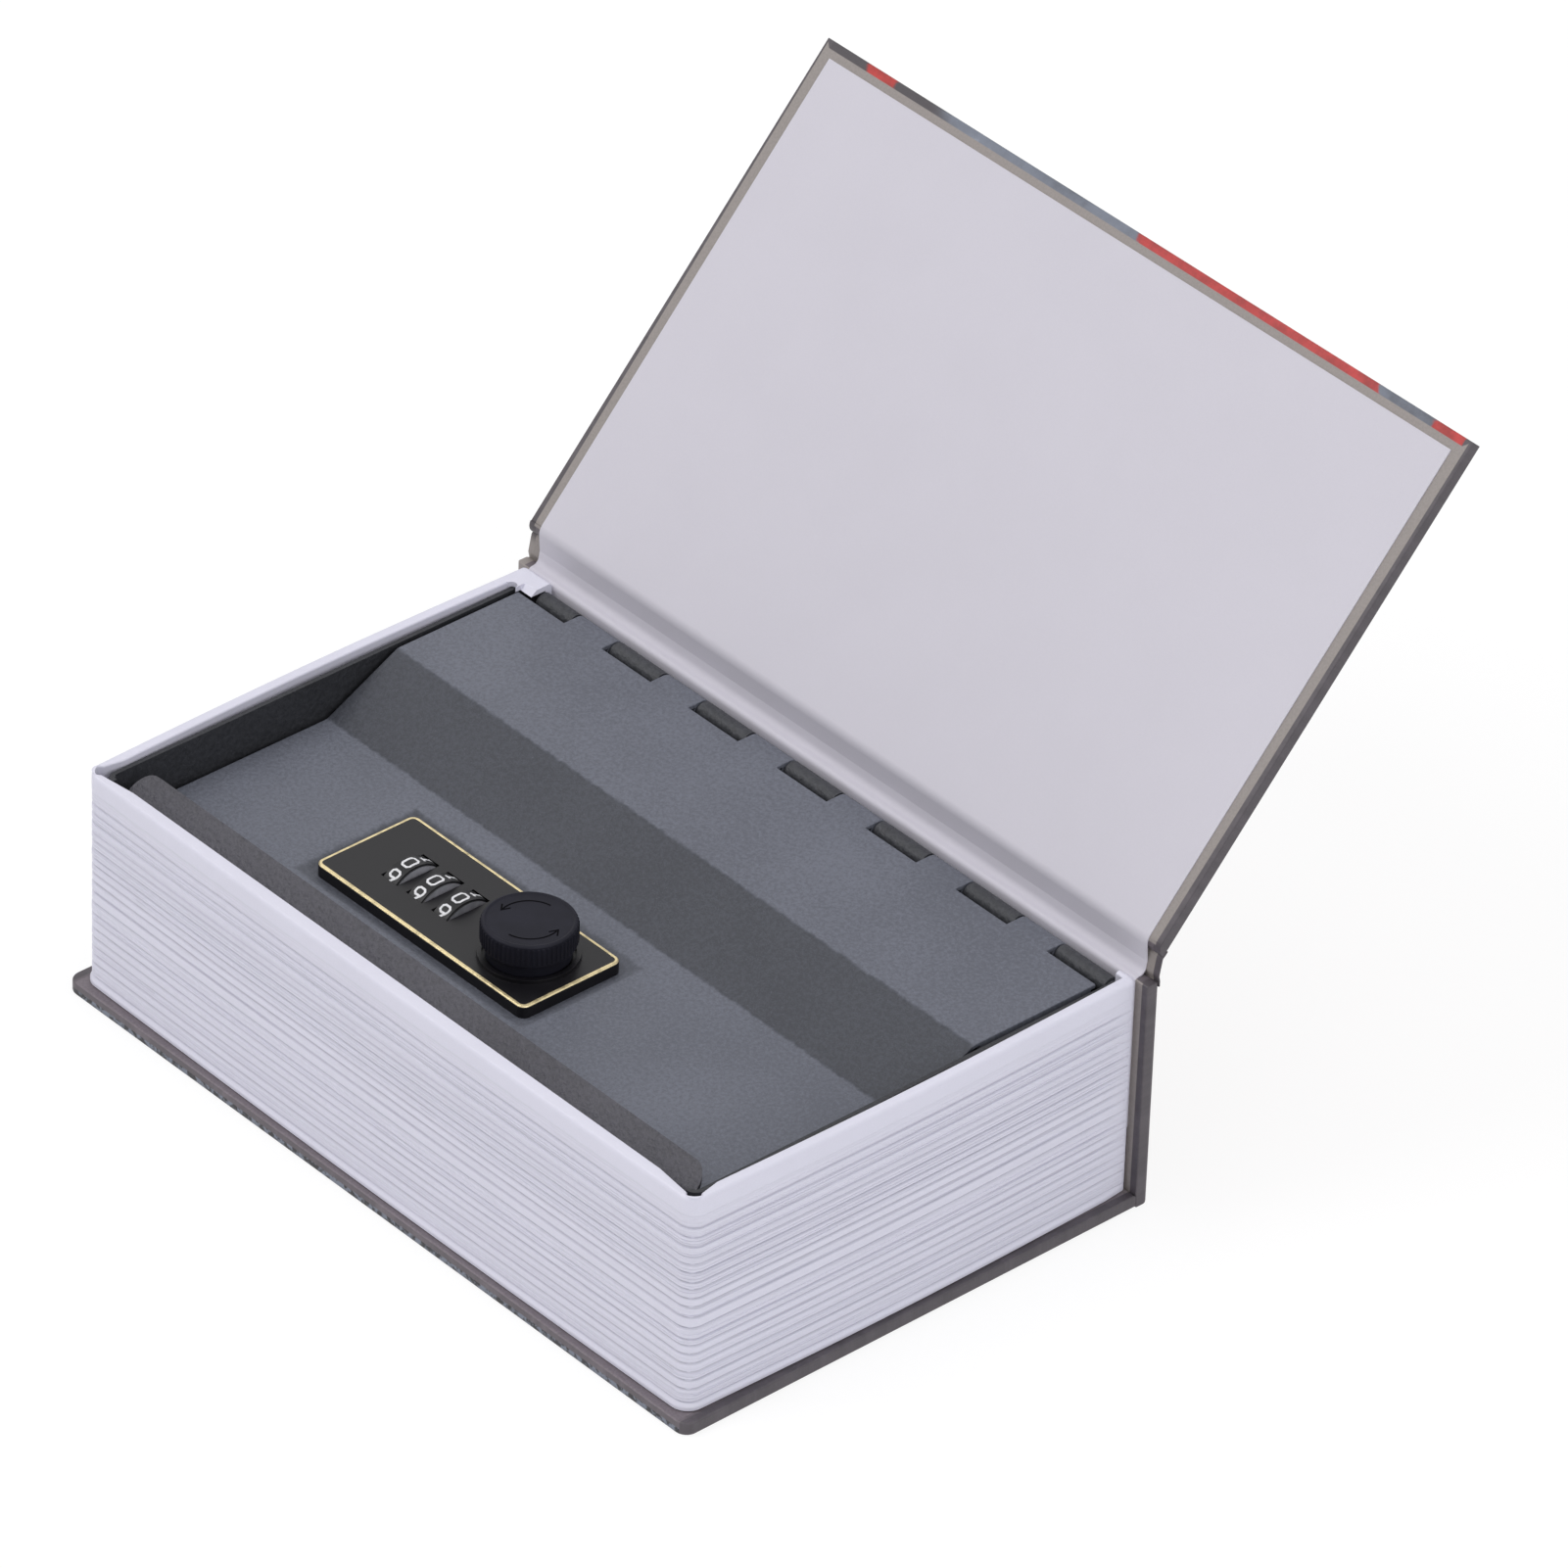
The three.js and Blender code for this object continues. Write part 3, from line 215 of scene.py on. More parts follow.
class Value:
    """A socket that can be used in sums: each operator adds its Math node."""

    def __init__(self, tree, socket):
        self.tree = tree
        self.socket = socket

    def math(self, operation, *values):
        return self.tree.node("ShaderNodeMath", {"operation": operation}, dict(enumerate(values)))

    def __add__(self, other):
        return self.math("ADD", self, other)

    def __radd__(self, other):
        return self.math("ADD", other, self)

    def __sub__(self, other):
        return self.math("SUBTRACT", self, other)

    def __rsub__(self, other):
        return self.math("SUBTRACT", other, self)

    def __mul__(self, other):
        return self.math("MULTIPLY", self, other)

    def __rmul__(self, other):
        return self.math("MULTIPLY", other, self)

    def __truediv__(self, other):
        return self.math("DIVIDE", self, other)

    def __abs__(self):
        return self.math("ABSOLUTE", self)

    def ramp(self, low, high):
        """0 below low and 1 above high, with soft ends."""
        return self.tree.node(
            "ShaderNodeMapRange", {"interpolation_type": "SMOOTHSTEP"},
            {"Value": self, "From Min": low, "From Max": high},
        )

    def at_most(self, other):
        return self.math("MINIMUM", self, other)

    def at_least(self, other):
        return self.math("MAXIMUM", self, other)


class Tree:
    """A node tree being built."""

    def __init__(self, tree):
        self.tree = tree

    def node(self, kind, settings=None, inputs=None, out=0):
        """One node: its settings, then the values or links of its inputs. Returns one of its outputs."""
        node = self.tree.nodes.new(kind)
        for name, value in (settings or {}).items():
            if name == "stops":
                self.set_stops(node.color_ramp, value)
            else:
                setattr(node, name, value)
        for name, value in (inputs or {}).items():
            self.feed(node.inputs[name], value)
        return Value(self, node.outputs[out]) if len(node.outputs) else node

    def feed(self, socket, value):
        if isinstance(value, Value):
            self.tree.links.new(value.socket, socket)
        elif socket.type == "RGBA" and len(value) == 3:
            socket.default_value = (*value, 1)
        else:
            socket.default_value = value

    @staticmethod
    def set_stops(ramp, stops):
        while len(ramp.elements) < len(stops):
            ramp.elements.new(1)
        for element, (place, shade) in zip(ramp.elements, stops):
            element.position = place
            element.color = (*shade, 1)


class Finish(Tree):
    """A material being built round one Principled BSDF."""

    def __init__(self, name, **inputs):
        self.material = bpy.data.materials.new(name)
        self.material.use_nodes = True
        super().__init__(self.material.node_tree)
        self.shader = self.tree.nodes["Principled BSDF"]
        self.place = self.node("ShaderNodeTexCoord", out=3)
        for name, value in inputs.items():
            self.set(name.replace("_", " "), value)

    def set(self, name, value):
        self.feed(self.shader.inputs[name], value)

    def noise(self, pitch, detail=2.0, roughness=0.5, place=None, dimensions="3D", **inputs):
        """Noise whose lumps are about pitch metres across."""
        values = {"Scale": 1 / pitch, "Detail": detail, "Roughness": roughness, **inputs}
        values["Vector"] = place or self.place
        return self.node("ShaderNodeTexNoise", {"noise_dimensions": dimensions}, values)

    def cells(self, pitch, feature="F1", **inputs):
        values = {"Scale": 1 / pitch, "Vector": self.place, **inputs}
        return self.node("ShaderNodeTexVoronoi", {"feature": feature}, values)

    def mix(self, share, first, second):
        return self.node(
            "ShaderNodeMix", {"data_type": "RGBA"}, {0: share, 6: first, 7: second}, out=2
        )

    def split(self, place=None):
        """X, Y and Z of a place."""
        source = self.tree.nodes.new("ShaderNodeSeparateXYZ")
        self.feed(source.inputs[0], place or self.place)
        return [Value(self, output) for output in source.outputs]

    def stretched(self, scale):
        return self.node("ShaderNodeMapping", {}, {"Vector": self.place, "Scale": scale})

    def attribute(self, name, out):
        """An attribute of the mesh: output 1 is a vector and 2 a number."""
        return self.node("ShaderNodeAttribute", {"attribute_name": name}, {}, out=out)

    def bump(self, *layers):
        """Bump from pairs of a height and its depth in metres, the coarsest first."""
        normal = None
        for height, depth in layers:
            inputs = {"Height": height, "Distance": depth}
            if normal:
                inputs["Normal"] = normal
            normal = self.node("ShaderNodeBump", {}, inputs)
        self.set("Normal", normal)
        return self.material


def darker(shade, share):
    return tuple(value * share for value in shade)


def endpaper_finish(shade):
    """Smooth uncoated paper with a faint fibre and a soft mottle."""
    finish = Finish("endpaper", Roughness=0.62, IOR=1.4)
    mottle = finish.noise(16 * MM, 3)
    fibre = finish.noise(0.35 * MM, 3, 0.7)
    tone = (mottle * 0.4 + fibre * 0.6).ramp(0.3, 0.7)
    finish.set("Base Color", finish.mix(tone, darker(shade, 0.97), shade))
    finish.set("Roughness", 0.58 + fibre * 0.1)
    return finish.bump((mottle, 0.03 * MM), (fibre, 0.014 * MM))


def page_finish(shade):
    """White moulded plastic, a little waxy, with painted shade in its grooves."""
    finish = Finish("page_plastic", IOR=1.46)
    groove = finish.attribute("groove", 2)
    grain = finish.noise(0.3 * MM, 2, 0.6)
    patch = finish.noise(20 * MM, 3)
    body = finish.mix((grain * 0.5 + patch * 0.5).ramp(0.32, 0.62), darker(shade, 0.965), shade)
    # Painted shade: the grooves stored by the page ribs' nodes darken the colour, unevenly.
    groove_shade = (groove * (0.75 + patch * 0.5)).at_most(1)
    finish.set("Base Color", finish.mix(groove_shade * 0.62, body, darker(shade, 0.5)))
    finish.set("Roughness", 0.46 + patch * 0.1)
    return finish.bump((grain, 0.012 * MM))


def front_art(finish, colours, sweep, broad, fine):
    """Clouds on the front cover, with red bands across them."""
    stops = [
        (0.30, colours.slate), (0.47, darker(colours.cloud, 0.8)),
        (0.57, colours.cloud), (0.72, colours.mist),
    ]
    clouds = finish.node("ShaderNodeValToRGB", {"stops": stops}, {0: broad * 0.7 + fine * 0.3})
    clouds = finish.mix(1 - sweep.ramp(*SWEEP_START), clouds, darker(colours.plum, 0.6))
    bands = [sweep.ramp(low - MM, low) * (1 - sweep.ramp(high, high + MM)) for low, high in BANDS]
    red = finish.mix(fine.ramp(0.3, 0.7), darker(colours.red, 0.55), colours.red)
    return finish.mix(bands[0].at_least(bands[1]).at_least(bands[2]) * 0.94, clouds, red)


def print_finish(colours):
    """Printed cloth: clouds and red bands in front, quiet elsewhere, plain where it is folded in."""
    finish = Finish("cover_print", IOR=1.5)
    x, way, folded = finish.split(finish.attribute("print_place", 1))
    across, back_way = abs(x), 0 - way
    place = finish.node("ShaderNodeCombineXYZ", {}, {0: x, 1: way, 2: 0.0})
    broad = finish.noise(34 * MM, 6, 0.6, place)
    fine = finish.noise(5 * MM, 5, 0.65, place)
    art = front_art(finish, colours, x + way * 0.35 + (broad - 0.5) * 0.02, broad, fine)
    quiet = finish.mix(fine.ramp(0.4, 0.75), darker(colours.stone, 0.72), darker(colours.stone, 1.15))
    art = finish.mix(way.ramp(*FRONT_START), quiet, art)
    marks = finish.noise(1.6 * MM, 3, 0.6).ramp(0.42, 0.58)
    marks = finish.mix(marks, darker(colours.slate, 0.5), colours.cloud)
    art = finish.mix(back_way.ramp(*BACK_FORE_EDGE) * (1 - folded.ramp(0.5, 0.6)), art, marks)
    ends = finish.mix(fine.ramp(0.35, 0.7), darker(colours.plum, 0.7), colours.plum)
    printed = way.ramp(0.002, 0.005).at_least(back_way.ramp(0.003, 0.005)).at_least(x.ramp(-MM, MM))
    art = finish.mix(across.ramp(*BOARD_ENDS), art, finish.mix(printed, colours.margin, ends))
    weave = finish.noise(0.5 * MM, 3, 0.6)
    plain = finish.mix(weave.ramp(0.35, 0.65), darker(colours.margin, 0.9), colours.margin)
    spine = finish.mix(weave.ramp(0.3, 0.7), colours.stone, darker(colours.stone, 1.3))
    plain = finish.mix(back_way.ramp(*SPINE_FOOT), plain, spine)
    over = way.ramp(*FRONT_FORE_EDGE) * ((way - MITRE) - across).ramp(-0.0002, 0.0002)
    over = over.at_least((across - way * 0.006).ramp(*FOLDED_ENDS))
    inside = folded.ramp(0.94, 1.0) * (1 - over)
    finish.set("Base Color", finish.mix(inside, art, plain))
    finish.set("Roughness", 0.42 + weave * 0.16)
    return finish.bump((weave, 0.03 * MM), (finish.noise(0.18 * MM, 2), 0.015 * MM))


def board_finish(shade):
    finish = Finish("board", Roughness=0.9)
    fibre = finish.noise(0.8 * MM, 5, 0.7)
    finish.set("Base Color", finish.mix(fibre.ramp(0.35, 0.65), darker(shade, 0.8), shade))
    return finish.bump((fibre, 0.06 * MM))


class Powder(Finish):
    """Powder coat: a sheen broken up by fine rounded grains, with painted glints as a few brighter specks and
    painted shade where the grains are low.
    """

    def __init__(self, name, grain, depth):
        super().__init__(name, IOR=1.45, Specular_IOR_Level=0.3)
        self.lumps = self.noise(grain, 2, 0.55)
        self.tiny = self.noise(grain * 0.42, 2, 0.6)
        self.patch = self.noise(30 * MM, 3)
        self.depth = depth

    def coated(self, shade, glint):
        """The material, from its body colour, which may vary, and the colour of the painted glints."""
        # Painted glints: a few small cells take the lighter glint colour.
        near = self.cells(1.1 * MM)
        painted_glints = near.math("LESS_THAN", near, 0.07)
        # Painted shade of the wrinkles: the body darkens where the grains are low, mixed with a broad random
        # mottle.
        tone = (self.tiny * 0.3 + self.lumps * 0.45 + self.patch * 0.25).ramp(0.38, 0.62)
        body = self.mix((1 - tone) * 0.3, shade, (0.0, 0.0, 0.0))
        self.set("Base Color", self.mix(painted_glints * 0.28, body, glint))
        self.set("Roughness", 0.34 + self.lumps * 0.24)
        return self.bump((self.lumps, self.depth), (self.tiny, self.depth * 0.4))


def within(value, low, high, soft):
    """1 between two places, with soft ends."""
    return value.ramp(low - soft, low + soft) * (1 - value.ramp(high - soft, high + soft))


def lid_finish(shade, creases, plate):
    """The lid's coat, darker on the slope and in the pressed seat round the lock plate: painted shade."""
    finish = Powder("lid_powder", 0.8 * MM, 0.11 * MM)
    x, y, z = finish.split()
    ragged = (finish.noise(2 * MM, 3) - 0.5) * 0.0012
    # Painted shade on the slope between its creases.
    slope = within(y + ragged, *creases, 0.4 * MM)
    low, high = plate
    # Painted shade in a band round the lock plate's seat, deeper towards the back and the left, below the
    # seat's top.
    reach_x = abs(x - (low.x + high.x) / 2) - (high.x - low.x) / 2
    reach_y = abs(y - (low.y + high.y) / 2) - (high.y - low.y) / 2
    seat_edge = 1 - (reach_x.at_least(reach_y) + ragged).ramp(*SEAT_REACH)
    slant = low.x * SEAT_SLANT
    far = (y - x * SEAT_SLANT).ramp(low.y - slant - 20 * MM, high.y - slant)
    dark = slope.at_least(seat_edge * (0.5 + far * 0.5) * (1 - z.ramp(*SEAT_TOP)))
    return finish.coated(finish.mix(dark, shade, darker(shade, 0.46)), darker(shade, 1.7))


def box_finish(wall, flange, edge):
    """The box's coat: coarse and wrinkled, with painted light on the hinge's knuckles and on the flange over
    the lid.
    """
    finish = Powder("box_powder", 1.1 * MM, 0.24 * MM)
    x, y, z = finish.split()
    # Painted light: the flange over the lid, inside the flange's corner, takes the lighter flange colour.
    lit = (1 - y.ramp(edge.y - 0.4 * MM, edge.y)) * (1 - abs(x).ramp(edge.x - 0.2 * MM, edge.x + 0.2 * MM))
    # Painted light: the knuckles behind and above the hinge line take a lighter copy of the wall colour.
    behind = y.ramp(LID_HINGE.y - 2.9 * MM, LID_HINGE.y - 2.5 * MM)
    above = z.ramp(LID_HINGE.z - 3.0 * MM, LID_HINGE.z - 2.5 * MM)
    body = finish.mix(behind * above, wall, darker(wall, 1.42))
    return finish.coated(finish.mix(lit, body, flange), darker(flange, 1.6))


def zinc_finish(shade):
    """Plated steel with fine drawing marks."""
    finish = Finish("zinc", Metallic=1.0)
    marks = finish.noise(0.25 * MM, 3, 0.6, finish.stretched((0.06, 1, 1)))
    stain = finish.noise(4 * MM, 3)
    finish.set("Base Color", finish.mix(stain.ramp(0.35, 0.65), darker(shade, 0.78), shade))
    finish.set("Roughness", 0.26 + marks * 0.22)
    return finish.bump((marks, 0.008 * MM))


def plastic_finish(name, shade, roughness, shine):
    """Black moulded plastic with a fine spark texture and handling marks."""
    finish = Finish(name, IOR=1.46, Specular_IOR_Level=shine)
    spark = finish.noise(0.16 * MM, 2, 0.6)
    rub = finish.noise(6 * MM, 4)
    finish.set("Base Color", finish.mix(rub.ramp(0.4, 0.7), shade, darker(shade, 1.3)))
    finish.set("Roughness", roughness + rub * 0.12)
    return finish.bump((spark, 0.012 * MM))


def dial_finish(shade, side, axis, radius):
    """Black plastic, greyer on the flat sides of the dials."""
    finish = Finish("dial_plastic", IOR=1.46, Specular_IOR_Level=0.4)
    _, y, z = finish.split()
    y, z = y - axis[0], z - axis[1]
    square = y * y + z * z
    out = square.math("SQRT", square)
    rub = finish.noise(1.5 * MM, 3)
    flank = finish.mix(rub.ramp(0.3, 0.7), darker(side, 0.75), side)
    finish.set("Base Color", finish.mix(1 - out.ramp(radius - 0.4 * MM, radius - 0.32 * MM), shade, flank))
    finish.set("Roughness", 0.34 + rub * 0.12)
    return finish.bump((rub, 0.01 * MM))


def gold_finish(shade):
    finish = Finish("gold_line", Metallic=0.75)
    rub = finish.noise(1.6 * MM, 4)
    worn = finish.noise(2.4 * MM, 4, 0.7).ramp(0.62, 0.68)
    bright = finish.mix(rub.ramp(0.35, 0.6), darker(shade, 0.75), shade)
    finish.set("Base Color", finish.mix(worn * 0.6, bright, darker(shade, 0.2)))
    finish.set("Roughness", 0.28 + rub * 0.2)
    return finish.bump((finish.noise(0.3 * MM, 2), 0.01 * MM))


def digit_finish(shade):
    finish = Finish("digit_paint", IOR=1.48)
    wear = finish.noise(0.5 * MM, 3)
    finish.set("Base Color", finish.mix(wear.ramp(0.3, 0.55), darker(shade, 0.82), shade))
    finish.set("Roughness", 0.4 + wear * 0.15)
    return finish.bump((wear, 0.006 * MM))


FINISHES = {}


def make_finishes(book, steel):
    FINISHES["paper"] = endpaper_finish(book.paper)
    FINISHES["pages"] = page_finish(book.pages)
    FINISHES["print"] = print_finish(book)
    FINISHES["board"] = board_finish(book.board)
    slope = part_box("lid")[0].y + SLOPE_START
    FINISHES["lid"] = lid_finish(steel.lid, (slope, slope + SLOPE_WIDTH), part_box("lock_plate"))
    FINISHES["box"] = box_finish(steel.box, steel.flange, FLANGE_CORNER)
    FINISHES["zinc"] = zinc_finish(steel.zinc)
    FINISHES["lock"] = plastic_finish("lock_plastic", steel.black, 0.3, 0.41)
    FINISHES["mark"] = plastic_finish("mark_paint", darker(steel.black, 0.4), 0.8, 0.05)
    FINISHES["knob"] = plastic_finish("knob_plastic", steel.knob, 0.45, 0.12)
    low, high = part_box("dial_1")
    FINISHES["dial"] = dial_finish(
        steel.dial, steel.drum, ((low.y + high.y) / 2, (low.z + high.z) / 2), (high.z - low.z) / 2)
    FINISHES["gold"] = gold_finish(steel.gold)
    FINISHES["digit"] = digit_finish(steel.digit)


# Making pieces


def as_object(name, mesh, finish=None):
    piece = bpy.data.objects.new(name, mesh)
    bpy.context.scene.collection.objects.link(piece)
    if finish:
        mesh.materials.clear()
        mesh.materials.append(FINISHES[finish])
    return piece


def from_points(name, points, faces, finish):
    """A piece from its points and faces, with its doubles merged and its faces turned outwards."""
    mesh = bpy.data.meshes.new(name)
    mesh.from_pydata([tuple(point) for point in points], [], faces)
    tidy_mesh(mesh)
    return as_object(name, mesh, finish)


def tidy_mesh(mesh):
    """Merges a mesh's doubles and turns its faces outwards."""
    work = bmesh.new()
    work.from_mesh(mesh)
    bmesh.ops.remove_doubles(work, verts=work.verts, dist=2e-6)
    bmesh.ops.dissolve_degenerate(work, edges=work.edges, dist=1e-6)
    bmesh.ops.recalc_face_normals(work, faces=work.faces)
    work.to_mesh(mesh)
    work.free()


def face_outwards(mesh):
    """Turns a mesh's faces outwards."""
    work = bmesh.new()
    work.from_mesh(mesh)
    bmesh.ops.recalc_face_normals(work, faces=work.faces)
    work.to_mesh(mesh)
    work.free()


def settled(piece, angle=38):
    """Turns a piece's modifiers into its mesh and shades it smooth up to an angle."""
    weighted = piece.modifiers.new("faces", "WEIGHTED_NORMAL")
    weighted.keep_sharp = True
    piece.data.shade_smooth()
    piece.data.set_sharp_from_angle(angle=math.radians(angle))
    return frozen(piece)


def frozen(piece):
    """Turns a piece's modifiers into its mesh."""
    made = bpy.data.meshes.new_from_object(piece.evaluated_get(bpy.context.evaluated_depsgraph_get()))
    made.name = piece.name
    piece.modifiers.clear()
    piece.data = made
    return piece


def softened(name, node, finish, edge, angle=40, segments=2):
    """A copy of a CAD node with its flat faces joined and its edges rounded."""
    mesh = frame["nodes"][node].data.copy()
    mesh.name = name
    work = bmesh.new()
    work.from_mesh(mesh)
    bmesh.ops.remove_doubles(work, verts=work.verts, dist=1e-6)
    bmesh.ops.dissolve_limit(work, angle_limit=math.radians(0.6), verts=work.verts, edges=work.edges)
    work.to_mesh(mesh)
    work.free()
    piece = as_object(name, mesh, finish)
    bevel = piece.modifiers.new("edge", "BEVEL")
    bevel.width = edge
    bevel.segments = segments
    bevel.limit_method = "ANGLE"
    bevel.angle_limit = math.radians(angle)
    return settled(piece)


def seat(piece, body, slot, *nodes):
    """The piece rides on a body and stands for CAD nodes, which it hides; the slot is not used."""
    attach(piece, body)
    if nodes:
        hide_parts(*nodes)
    return piece


def coat(finish, *nodes):
    """Gives CAD nodes that stay as they are their finish."""
    for node in nodes:
        piece = frame["nodes"][node]
        piece.data.materials.clear()
        piece.data.materials.append(FINISHES[finish])


# Book case


def corners_of(mesh):
    """A mesh's points as an array."""
    points = np.zeros(len(mesh.vertices) * 3)
    mesh.vertices.foreach_get("co", points)
    return points.reshape(-1, 3)


def write_places(mesh, x, way, folded):
    """Stores each point's place on the flat sheet: X, the way round the book, and 1 where it is folded in."""
    places = np.stack([x, way, folded], 1)
    attribute = mesh.attributes.new("print_place", "FLOAT_VECTOR", "POINT")
    attribute.data.foreach_set("vector", places.astype(np.float32).ravel())


def print_places(piece, origin, along, face, start, fold):
    """Lays the print on a board with a given run and face: fold is the depth that counts as folded in."""
    points = corners_of(piece.data)
    offset = points - np.array(origin)
    write_places(piece.data, points[:, 0], start + offset @ np.array(along), offset @ np.array(face) / fold)


def print_along(piece, path, known, way):
    """Lays the print on a sheet along a path: one point has a known way, and the left is the inner side."""
    points = corners_of(piece.data)
    line = np.array([tuple(at) for at in path])
    runs = np.concatenate([[0], np.cumsum(np.linalg.norm(np.diff(line, axis=0), axis=1))])
    runs += way - runs[[tuple(at) for at in path].index(tuple(known))]
    heading = np.gradient(line, axis=0)
    offset = points[:, None, 1:] - line[None]
    nearest = np.argmin((offset ** 2).sum(axis=2), axis=1)
    offset = offset[np.arange(len(points)), nearest]
    heading = heading[nearest]
    left = heading[:, 0] * offset[:, 1] - heading[:, 1] * offset[:, 0]
    write_places(piece.data, points[:, 0], runs[nearest], (left > 0).astype(float))


def slab(name, half, run, depth, place, outer, inner, corner=0.0, near=0.0):
    """A board in its cloth: run along the book's width, depth inwards from the printed face.

    The edges where the run starts may be rounder: corner is for the upright ones and near for the inner one.
    """
    work = bmesh.new()
    bmesh.ops.create_cube(work, size=1)
    for vert in work.verts:
        vert.co = Vector((
            2 * half * vert.co.x,
            run[0] if vert.co.y < 0 else run[1],
            depth[0] if vert.co.z < 0 else depth[1],
        ))
    if corner:
        edges = [e for e in work.edges if all(abs(v.co.y - run[0]) < 1e-7 for v in e.verts)
                 and abs(e.verts[0].co.z - e.verts[1].co.z) > 1e-7]
        bmesh.ops.bevel(work, geom=edges, offset=corner, segments=8, profile=0.5, affect="EDGES")
    if near:
        edges = [e for e in work.edges
                 if all(abs(v.co.y - run[0]) < 1e-7 and abs(v.co.z - depth[1]) < 1e-7 for v in e.verts)]
        bmesh.ops.bevel(work, geom=edges, offset=near, segments=8, profile=0.5, affect="EDGES")
    for level, radius in ((depth[0], outer), (depth[1], inner)):
        edges = [e for e in work.edges if all(abs(v.co.z - level) < 1e-7 for v in e.verts)]
        bmesh.ops.bevel(work, geom=edges, offset=radius, segments=4, profile=0.5, affect="EDGES")
    mesh = bpy.data.meshes.new(name)
    work.transform(place)
    bmesh.ops.recalc_face_normals(work, faces=work.faces)
    work.to_mesh(mesh)
    work.free()
    return settled(as_object(name, mesh, "print"))


def local(origin, along, face):
    """The matrix that takes X, run and depth to the book."""
    return Matrix((
        (1, 0, 0, origin[0]),
        (0, along[1], face[1], origin[1]),
        (0, along[2], face[2], origin[2]),
        (0, 0, 0, 1),
    ))


def case_boards(sizes):
    """Back cover, spine and front cover, each a board in its cloth."""
    low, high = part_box("back_wrap")
    half, rear = high.x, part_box("spine_wrap")[0].y
    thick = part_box("back_board")[1].z + CLOTH
    lie = ((0, 0, 0), (0, 1, 0), (0, 0, 1))
    back = slab(
        "back_cover", half, (low.y, rear - 0.02 * MM), (0, thick), local(*lie),
        sizes.cloth_round, sizes.fold_round, sizes.corner)
    print_places(back, (0, high.y, 0), *lie[1:], -SPINE_CREASE.z, thick - FOLD_SKIN)
    seat(back, "base", "cover_wrap", "back_wrap", "back_board")
    low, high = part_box("spine_wrap")
    thick = high.y - low.y
    stand = ((0, high.y, 0), (0, 0, 1), (0, -1, 0))
    spine = slab("spine_cover", half, (0, high.z), (0, thick), local(*stand), sizes.spine_round, 0.3 * MM)
    print_places(spine, (0, high.y, SPINE_CREASE.z), *stand[1:], 0, thick - FOLD_SKIN)
    seat(spine, "base", "cover_wrap", "spine_wrap", "spine_board")
    lean = (BOARD_CREASE, ALONG_COVER, ALONG_COVER_FACE)
    front = slab(
        "front_cover", half, (CLOTH, cover_reach()), (-CLOTH, BOARD_INSIDE), local(*lean),
        sizes.cloth_round, sizes.fold_round, near=sizes.near_round)
    outside = BOARD_CREASE - ALONG_COVER_FACE * CLOTH
    print_places(front, outside, *lean[1:], STRIP_LENGTH, BOARD_INSIDE + CLOTH - FOLD_SKIN)
    seat(front, "front_cover", "cover_wrap", "front_wrap", "front_board")


def cover_reach():
    """How far the front cover reaches from its crease."""
    points = frame["nodes"]["front_wrap"].data.vertices
    return max((Vector(point.co) - BOARD_CREASE).dot(ALONG_COVER) for point in points)


def rounded(corners, radii, steps=6, share=0.48):
    """A path of [y, z] points with its inner corners rounded, each with its own radius."""
    points = [Vector(corner) for corner in corners]
    path = [points[0]]
    for before, at, after, radius in zip(points, points[1:], points[2:], radii):
        back, on = (before - at).normalized(), (after - at).normalized()
        half = math.acos(max(-1, min(1, back.dot(on)))) / 2
        reach = min(radius / math.tan(half), (before - at).length * share, (after - at).length * share)
        start, end = at + back * reach, at + on * reach
        for step in range(steps + 1):
            way = step / steps
            path.append(start.lerp(at, way).lerp(at.lerp(end, way), way))
    path.append(points[-1])
    return path


def finely(path, step):
    """The same path with no gap longer than step."""
    made = [path[0]]
    for before, after in zip(path, path[1:]):
        count = max(1, math.ceil((after - before).length / step))
        made += [before.lerp(after, i / count) for i in range(1, count + 1)]
    return made


def sheet(name, path, half, thick, finish, columns=48, lift=None):
    """A sheet of paper or cloth whose middle follows a [y, z] path, run across the book."""
    count = len(path)
    tangents = [path[min(i + 1, count - 1)] - path[max(i - 1, 0)] for i in range(count)]
    normals = [Vector((-t.y, t.x)).normalized() for t in tangents]
    xs = np.linspace(-half, half, columns + 1)
    points = []
    for side in (thick / 2, -thick / 2):
        for i, (at, normal) in enumerate(zip(path, normals)):
            for x in xs:
                out = side + (lift(x, i, at) if lift else 0)
                points.append((x, at.x + normal.x * out, at.y + normal.y * out))
    wide = columns + 1
    under = count * wide
    faces = []
    for i in range(count - 1):
        for j in range(columns):
            a, b, c, d = i * wide + j, i * wide + j + 1, (i + 1) * wide + j + 1, (i + 1) * wide + j
            faces += [(a, b, c, d), (under + d, under + c, under + b, under + a)]
        for j in (0, columns):
            a, d = i * wide + j, (i + 1) * wide + j
            faces.append((a, d, under + d, under + a))
    for i in (0, count - 1):
        for j in range(columns):
            a, b = i * wide + j, i * wide + j + 1
            faces.append((a, b, under + b, under + a))
    return settled(from_points(name, points, faces, finish), 50)


def flat(point):
    return Vector((point[1], point[2]))


def on_strip(along, inwards):
    return flat(SPINE_CREASE + ALONG_STRIP * along + STRIP_FACE * inwards)


def on_cover(along, inwards):
    return flat(BOARD_CREASE + ALONG_COVER * along + ALONG_COVER_FACE * inwards)


